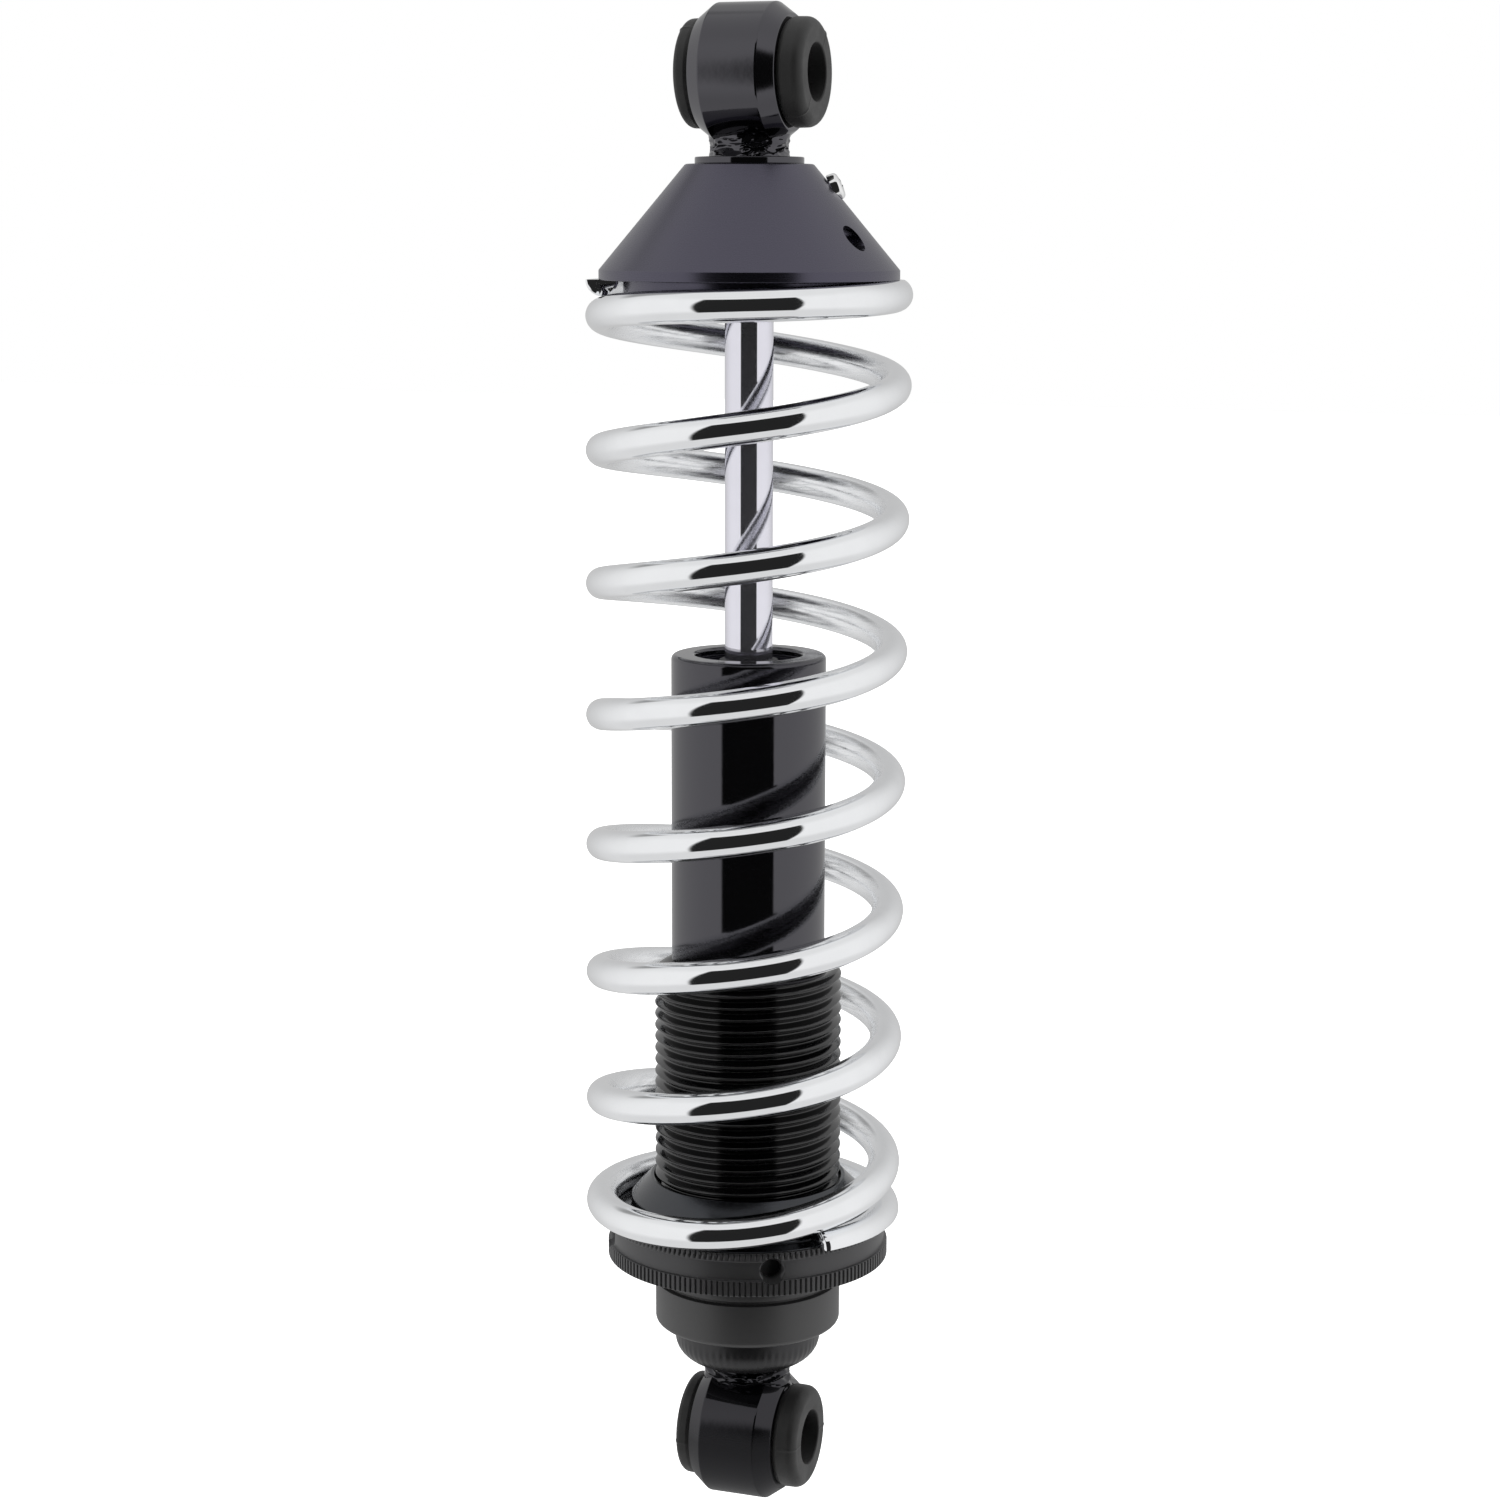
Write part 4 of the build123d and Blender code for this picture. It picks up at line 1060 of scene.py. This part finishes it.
FLUTES = 60
FLUTE_DEPTH = 0.08 * MM
FLUTE_LOW = 20.4 * MM
FLUTE_HIGH = 27.5 * MM
BOWL_RADIUS = 18.75 * MM
BOWL_FOOT_RADIUS = 11.4 * MM
BOWL_TOP = 26.5 * MM
BOWL_STEPS = 18
BASE_RIM_TOP = 32.5 * MM
BASE_SPIGOT_RADIUS = 16.95 * MM
BASE_HOLE_RADIUS = 8.05 * MM          # takes the eye's stud from below
BASE_HOLE_TOP = 37 * MM
BASE_CENTRE_RADIUS = 0.5 * MM


def flute_shape(radius, angle, height):
    """Cuts shallow upright grip marks into the base cap's bowl."""
    wave = 0.5 + 0.5 * np.cos(angle * FLUTES)
    rise = np.clip((height - FLUTE_LOW) / (1.5 * MM), 0, 1)
    fall = np.clip((FLUTE_HIGH - height) / MM, 0, 1)
    outer = radius > BOWL_FOOT_RADIUS + 0.1 * MM
    return radius - outer * rise * fall * FLUTE_DEPTH * wave, height


def build_base_cap():
    """Base cap with its grip marks."""
    low, high = height_span("base_cap")
    bowl = [(BASE_HOLE_RADIUS, low), (BOWL_FOOT_RADIUS - 0.2 * MM, low)]
    for step in range(1, BOWL_STEPS + 1):
        share = math.pi / 2 * step / BOWL_STEPS
        radius = BOWL_FOOT_RADIUS + (BOWL_RADIUS - BOWL_FOOT_RADIUS) * math.sin(share)
        height = BOWL_TOP - (BOWL_TOP - low - 0.1 * MM) * math.cos(share)
        bowl.append((radius, height))
    rest = [
        (BOWL_RADIUS, BOWL_TOP + 2 * MM), (BOWL_RADIUS, BASE_RIM_TOP),
        (BASE_SPIGOT_RADIUS, BASE_RIM_TOP), (BASE_SPIGOT_RADIUS, high),
        (BASE_CENTRE_RADIUS, high), (BASE_CENTRE_RADIUS, BASE_HOLE_TOP),
        (BASE_HOLE_RADIUS, BASE_HOLE_TOP),
    ]
    outline = stretched(np.array(bowl + rest), 0.9 * MM)
    shell = spun(outline, FLUTES * 8, shape=flute_shape)
    piece(
        "base_cap_fluted", [shell], BOWL_BLACK, "damper_body", ("base_cap",),
        sharp=40,
    )


# ---- CAD pieces that stay ----------------------------------------------------------------------
KEPT_FINISHES = {
    "rod_lock_nut": STEEL, "bump_washer": STEEL, "piston_nut": STEEL, "compression_shims": STEEL,
    "rebound_shims": STEEL, "sleeve_stop_ring": STEEL, "bump_stop": RUBBER,
    "top_out_bumper": RUBBER, "rod_seal": SEAL_RUBBER, "seal_head_oring": SEAL_RUBBER,
    "floating_piston_oring": SEAL_RUBBER, "base_cap_oring": SEAL_RUBBER, "seal_head": CAP_BLACK,
    "piston": ALUMINIUM, "floating_piston": ALUMINIUM, "guide_bush": BRONZE,
    "piston_band": BAND_PLASTIC,
}


def finish_kept_nodes():
    """Gives each CAD node that stays its material."""
    for node, material in KEPT_FINISHES.items():
        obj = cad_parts[node]
        for place in range(max(1, len(obj.data.materials))):
            if obj.data.materials:
                obj.data.materials[place] = material
            else:
                obj.data.materials.append(material)


# ---- studio ------------------------------------------------------------------------------------
def tent_light(tree, azimuth, elevation):
    """Brightness of the white tent: brightest beside the camera, dimmer behind and below."""
    facing = combined(tree, "COSINE", azimuth, 0)
    beside = ranged(tree, facing, 1, 0, -1, 0.2)
    beside = combined(tree, "MULTIPLY", beside, beside)
    ring = ranged(tree, beside, SIDE_LIGHT, BACK_LIGHT, 0, 1)
    above = smooth_step(tree, elevation, math.radians(35), math.radians(62))
    below = smooth_step(tree, elevation, math.radians(-20), math.radians(-46))
    shade = back_shade(tree, azimuth, elevation)
    light = blended(tree, below, blended(tree, above, ring, TOP_LIGHT), BOTTOM_LIGHT)
    return combined(tree, "MULTIPLY", light, shade)


def back_shade(tree, azimuth, elevation):
    """Share of the light left where something dark hangs behind the object, high on the left."""
    edges = (
        smooth_step(tree, azimuth, math.radians(-165), math.radians(-150)),
        smooth_step(tree, azimuth, math.radians(-122), math.radians(-136)),
        smooth_step(tree, elevation, math.radians(30), math.radians(40)),
        smooth_step(tree, elevation, math.radians(66), math.radians(56)),
    )
    inside = edges[0]
    for edge in edges[1:]:
        inside = combined(tree, "MULTIPLY", inside, edge)
    return ranged(tree, inside, 1, SHADE_LIGHT, 0, 1)


def outside_gap(tree, azimuth, elevation):
    """One on the white tent and zero in the dark gap that the camera looks through."""
    right = smooth_step(tree, azimuth, GAP_RIGHT - GAP_EDGE, GAP_RIGHT + GAP_EDGE)
    left = smooth_step(tree, azimuth, GAP_LEFT_EDGE - GAP_LEFT, -GAP_LEFT_EDGE - GAP_LEFT)
    above = smooth_step(tree, elevation, GAP_HIGH - GAP_EDGE, GAP_HIGH + GAP_EDGE)
    below = smooth_step(tree, elevation, GAP_LOW + GAP_EDGE, GAP_LOW - GAP_EDGE)
    level = combined(tree, "MAXIMUM", right, left)
    return combined(tree, "MAXIMUM", level, combined(tree, "MAXIMUM", above, below))


def build_world():
    """White tent round the object, seen as plain white by the camera itself."""
    world = bpy.data.worlds.new("studio")
    bpy.context.scene.world = world
    world.use_nodes = True
    tree = world.node_tree
    tree.nodes.clear()
    where = add_node(tree, "ShaderNodeTexCoord")
    turned = add_node(tree, "ShaderNodeMapping", {
        "Vector": where.outputs["Generated"], "Rotation": (0, 0, math.pi / 2 - CAMERA_AZIMUTH),
    }, vector_type="VECTOR")
    split = add_node(tree, "ShaderNodeSeparateXYZ", {"Vector": turned.outputs["Vector"]})
    x, y, z = (split.outputs[axis] for axis in "XYZ")
    azimuth = combined(tree, "ARCTAN2", y, x)
    elevation = combined(tree, "ARCSINE", z, 0)
    outside = outside_gap(tree, azimuth, elevation)
    strength = blended(tree, outside, GAP_LIGHT, tent_light(tree, azimuth, elevation))
    path = add_node(tree, "ShaderNodeLightPath")
    studio = add_node(tree, "ShaderNodeBackground", {"Strength": strength})
    backdrop = add_node(tree, "ShaderNodeBackground", {"Color": (1, 1, 1, 1), "Strength": 1.0})
    mixed = add_node(tree, "ShaderNodeMixShader", {
        0: path.outputs["Is Camera Ray"], 1: studio.outputs[0], 2: backdrop.outputs[0],
    })
    add_node(tree, "ShaderNodeOutputWorld", {"Surface": mixed.outputs[0]})


def build_floor():
    """Plain pale floor below the object."""
    material, tree, shader = new_material("pale_floor")
    speck = grain(tree, 40 * MM, 2)
    connect(
        tree, shader,
        Base_Color=tinted(tree, speck, (0.93, 0.93, 0.93), (0.95, 0.95, 0.95)),
        Roughness=0.8, Emission_Color=(1, 1, 1, 1), Emission_Strength=1.0,
    )
    half = FLOOR_SIZE / 2
    z = CAD_BOX[0].z - FLOOR_DROP
    mesh = bpy.data.meshes.new("floor")
    corners = [(-half, -half, z), (half, -half, z), (half, half, z), (-half, half, z)]
    mesh.from_pydata(corners, [], [(0, 1, 2, 3)])
    mesh.materials.append(material)
    floor = bpy.data.objects.new("floor", mesh)
    bpy.context.scene.collection.objects.link(floor)
    floor.visible_glossy = False
    floor.visible_diffuse = False


def build_camera():
    """Camera at the view that shows the shock upright and a little from above."""
    data = bpy.data.cameras.new("camera")
    data.lens = CAMERA_LENS
    data.sensor_width = 36
    data.shift_x = CAMERA_SHIFT
    camera = bpy.data.objects.new("camera", data)
    bpy.context.scene.collection.objects.link(camera)
    level = Vector((math.sin(CAMERA_AZIMUTH), -math.cos(CAMERA_AZIMUTH), 0))
    camera.location = level * CAMERA_DISTANCE + Vector((0, 0, CAMERA_HEIGHT))
    look = -level * math.cos(CAMERA_PITCH) - Vector((0, 0, math.sin(CAMERA_PITCH)))
    camera.rotation_mode = "QUATERNION"
    camera.rotation_quaternion = look.to_track_quat("-Z", "Y") @ Quaternion((0, 0, 1), CAMERA_ROLL)
    bpy.context.scene.camera = camera


build_spring()
build_upper_eye()
build_lower_eye()
build_bushes()
build_cap()
build_screw()
build_rod()
build_tube()
build_wiper()
build_sleeve()
build_seat()
build_collar()
build_base_cap()
finish_kept_nodes()
build_world()
build_floor()
build_camera()
bpy.context.scene.view_settings.view_transform = "Standard"
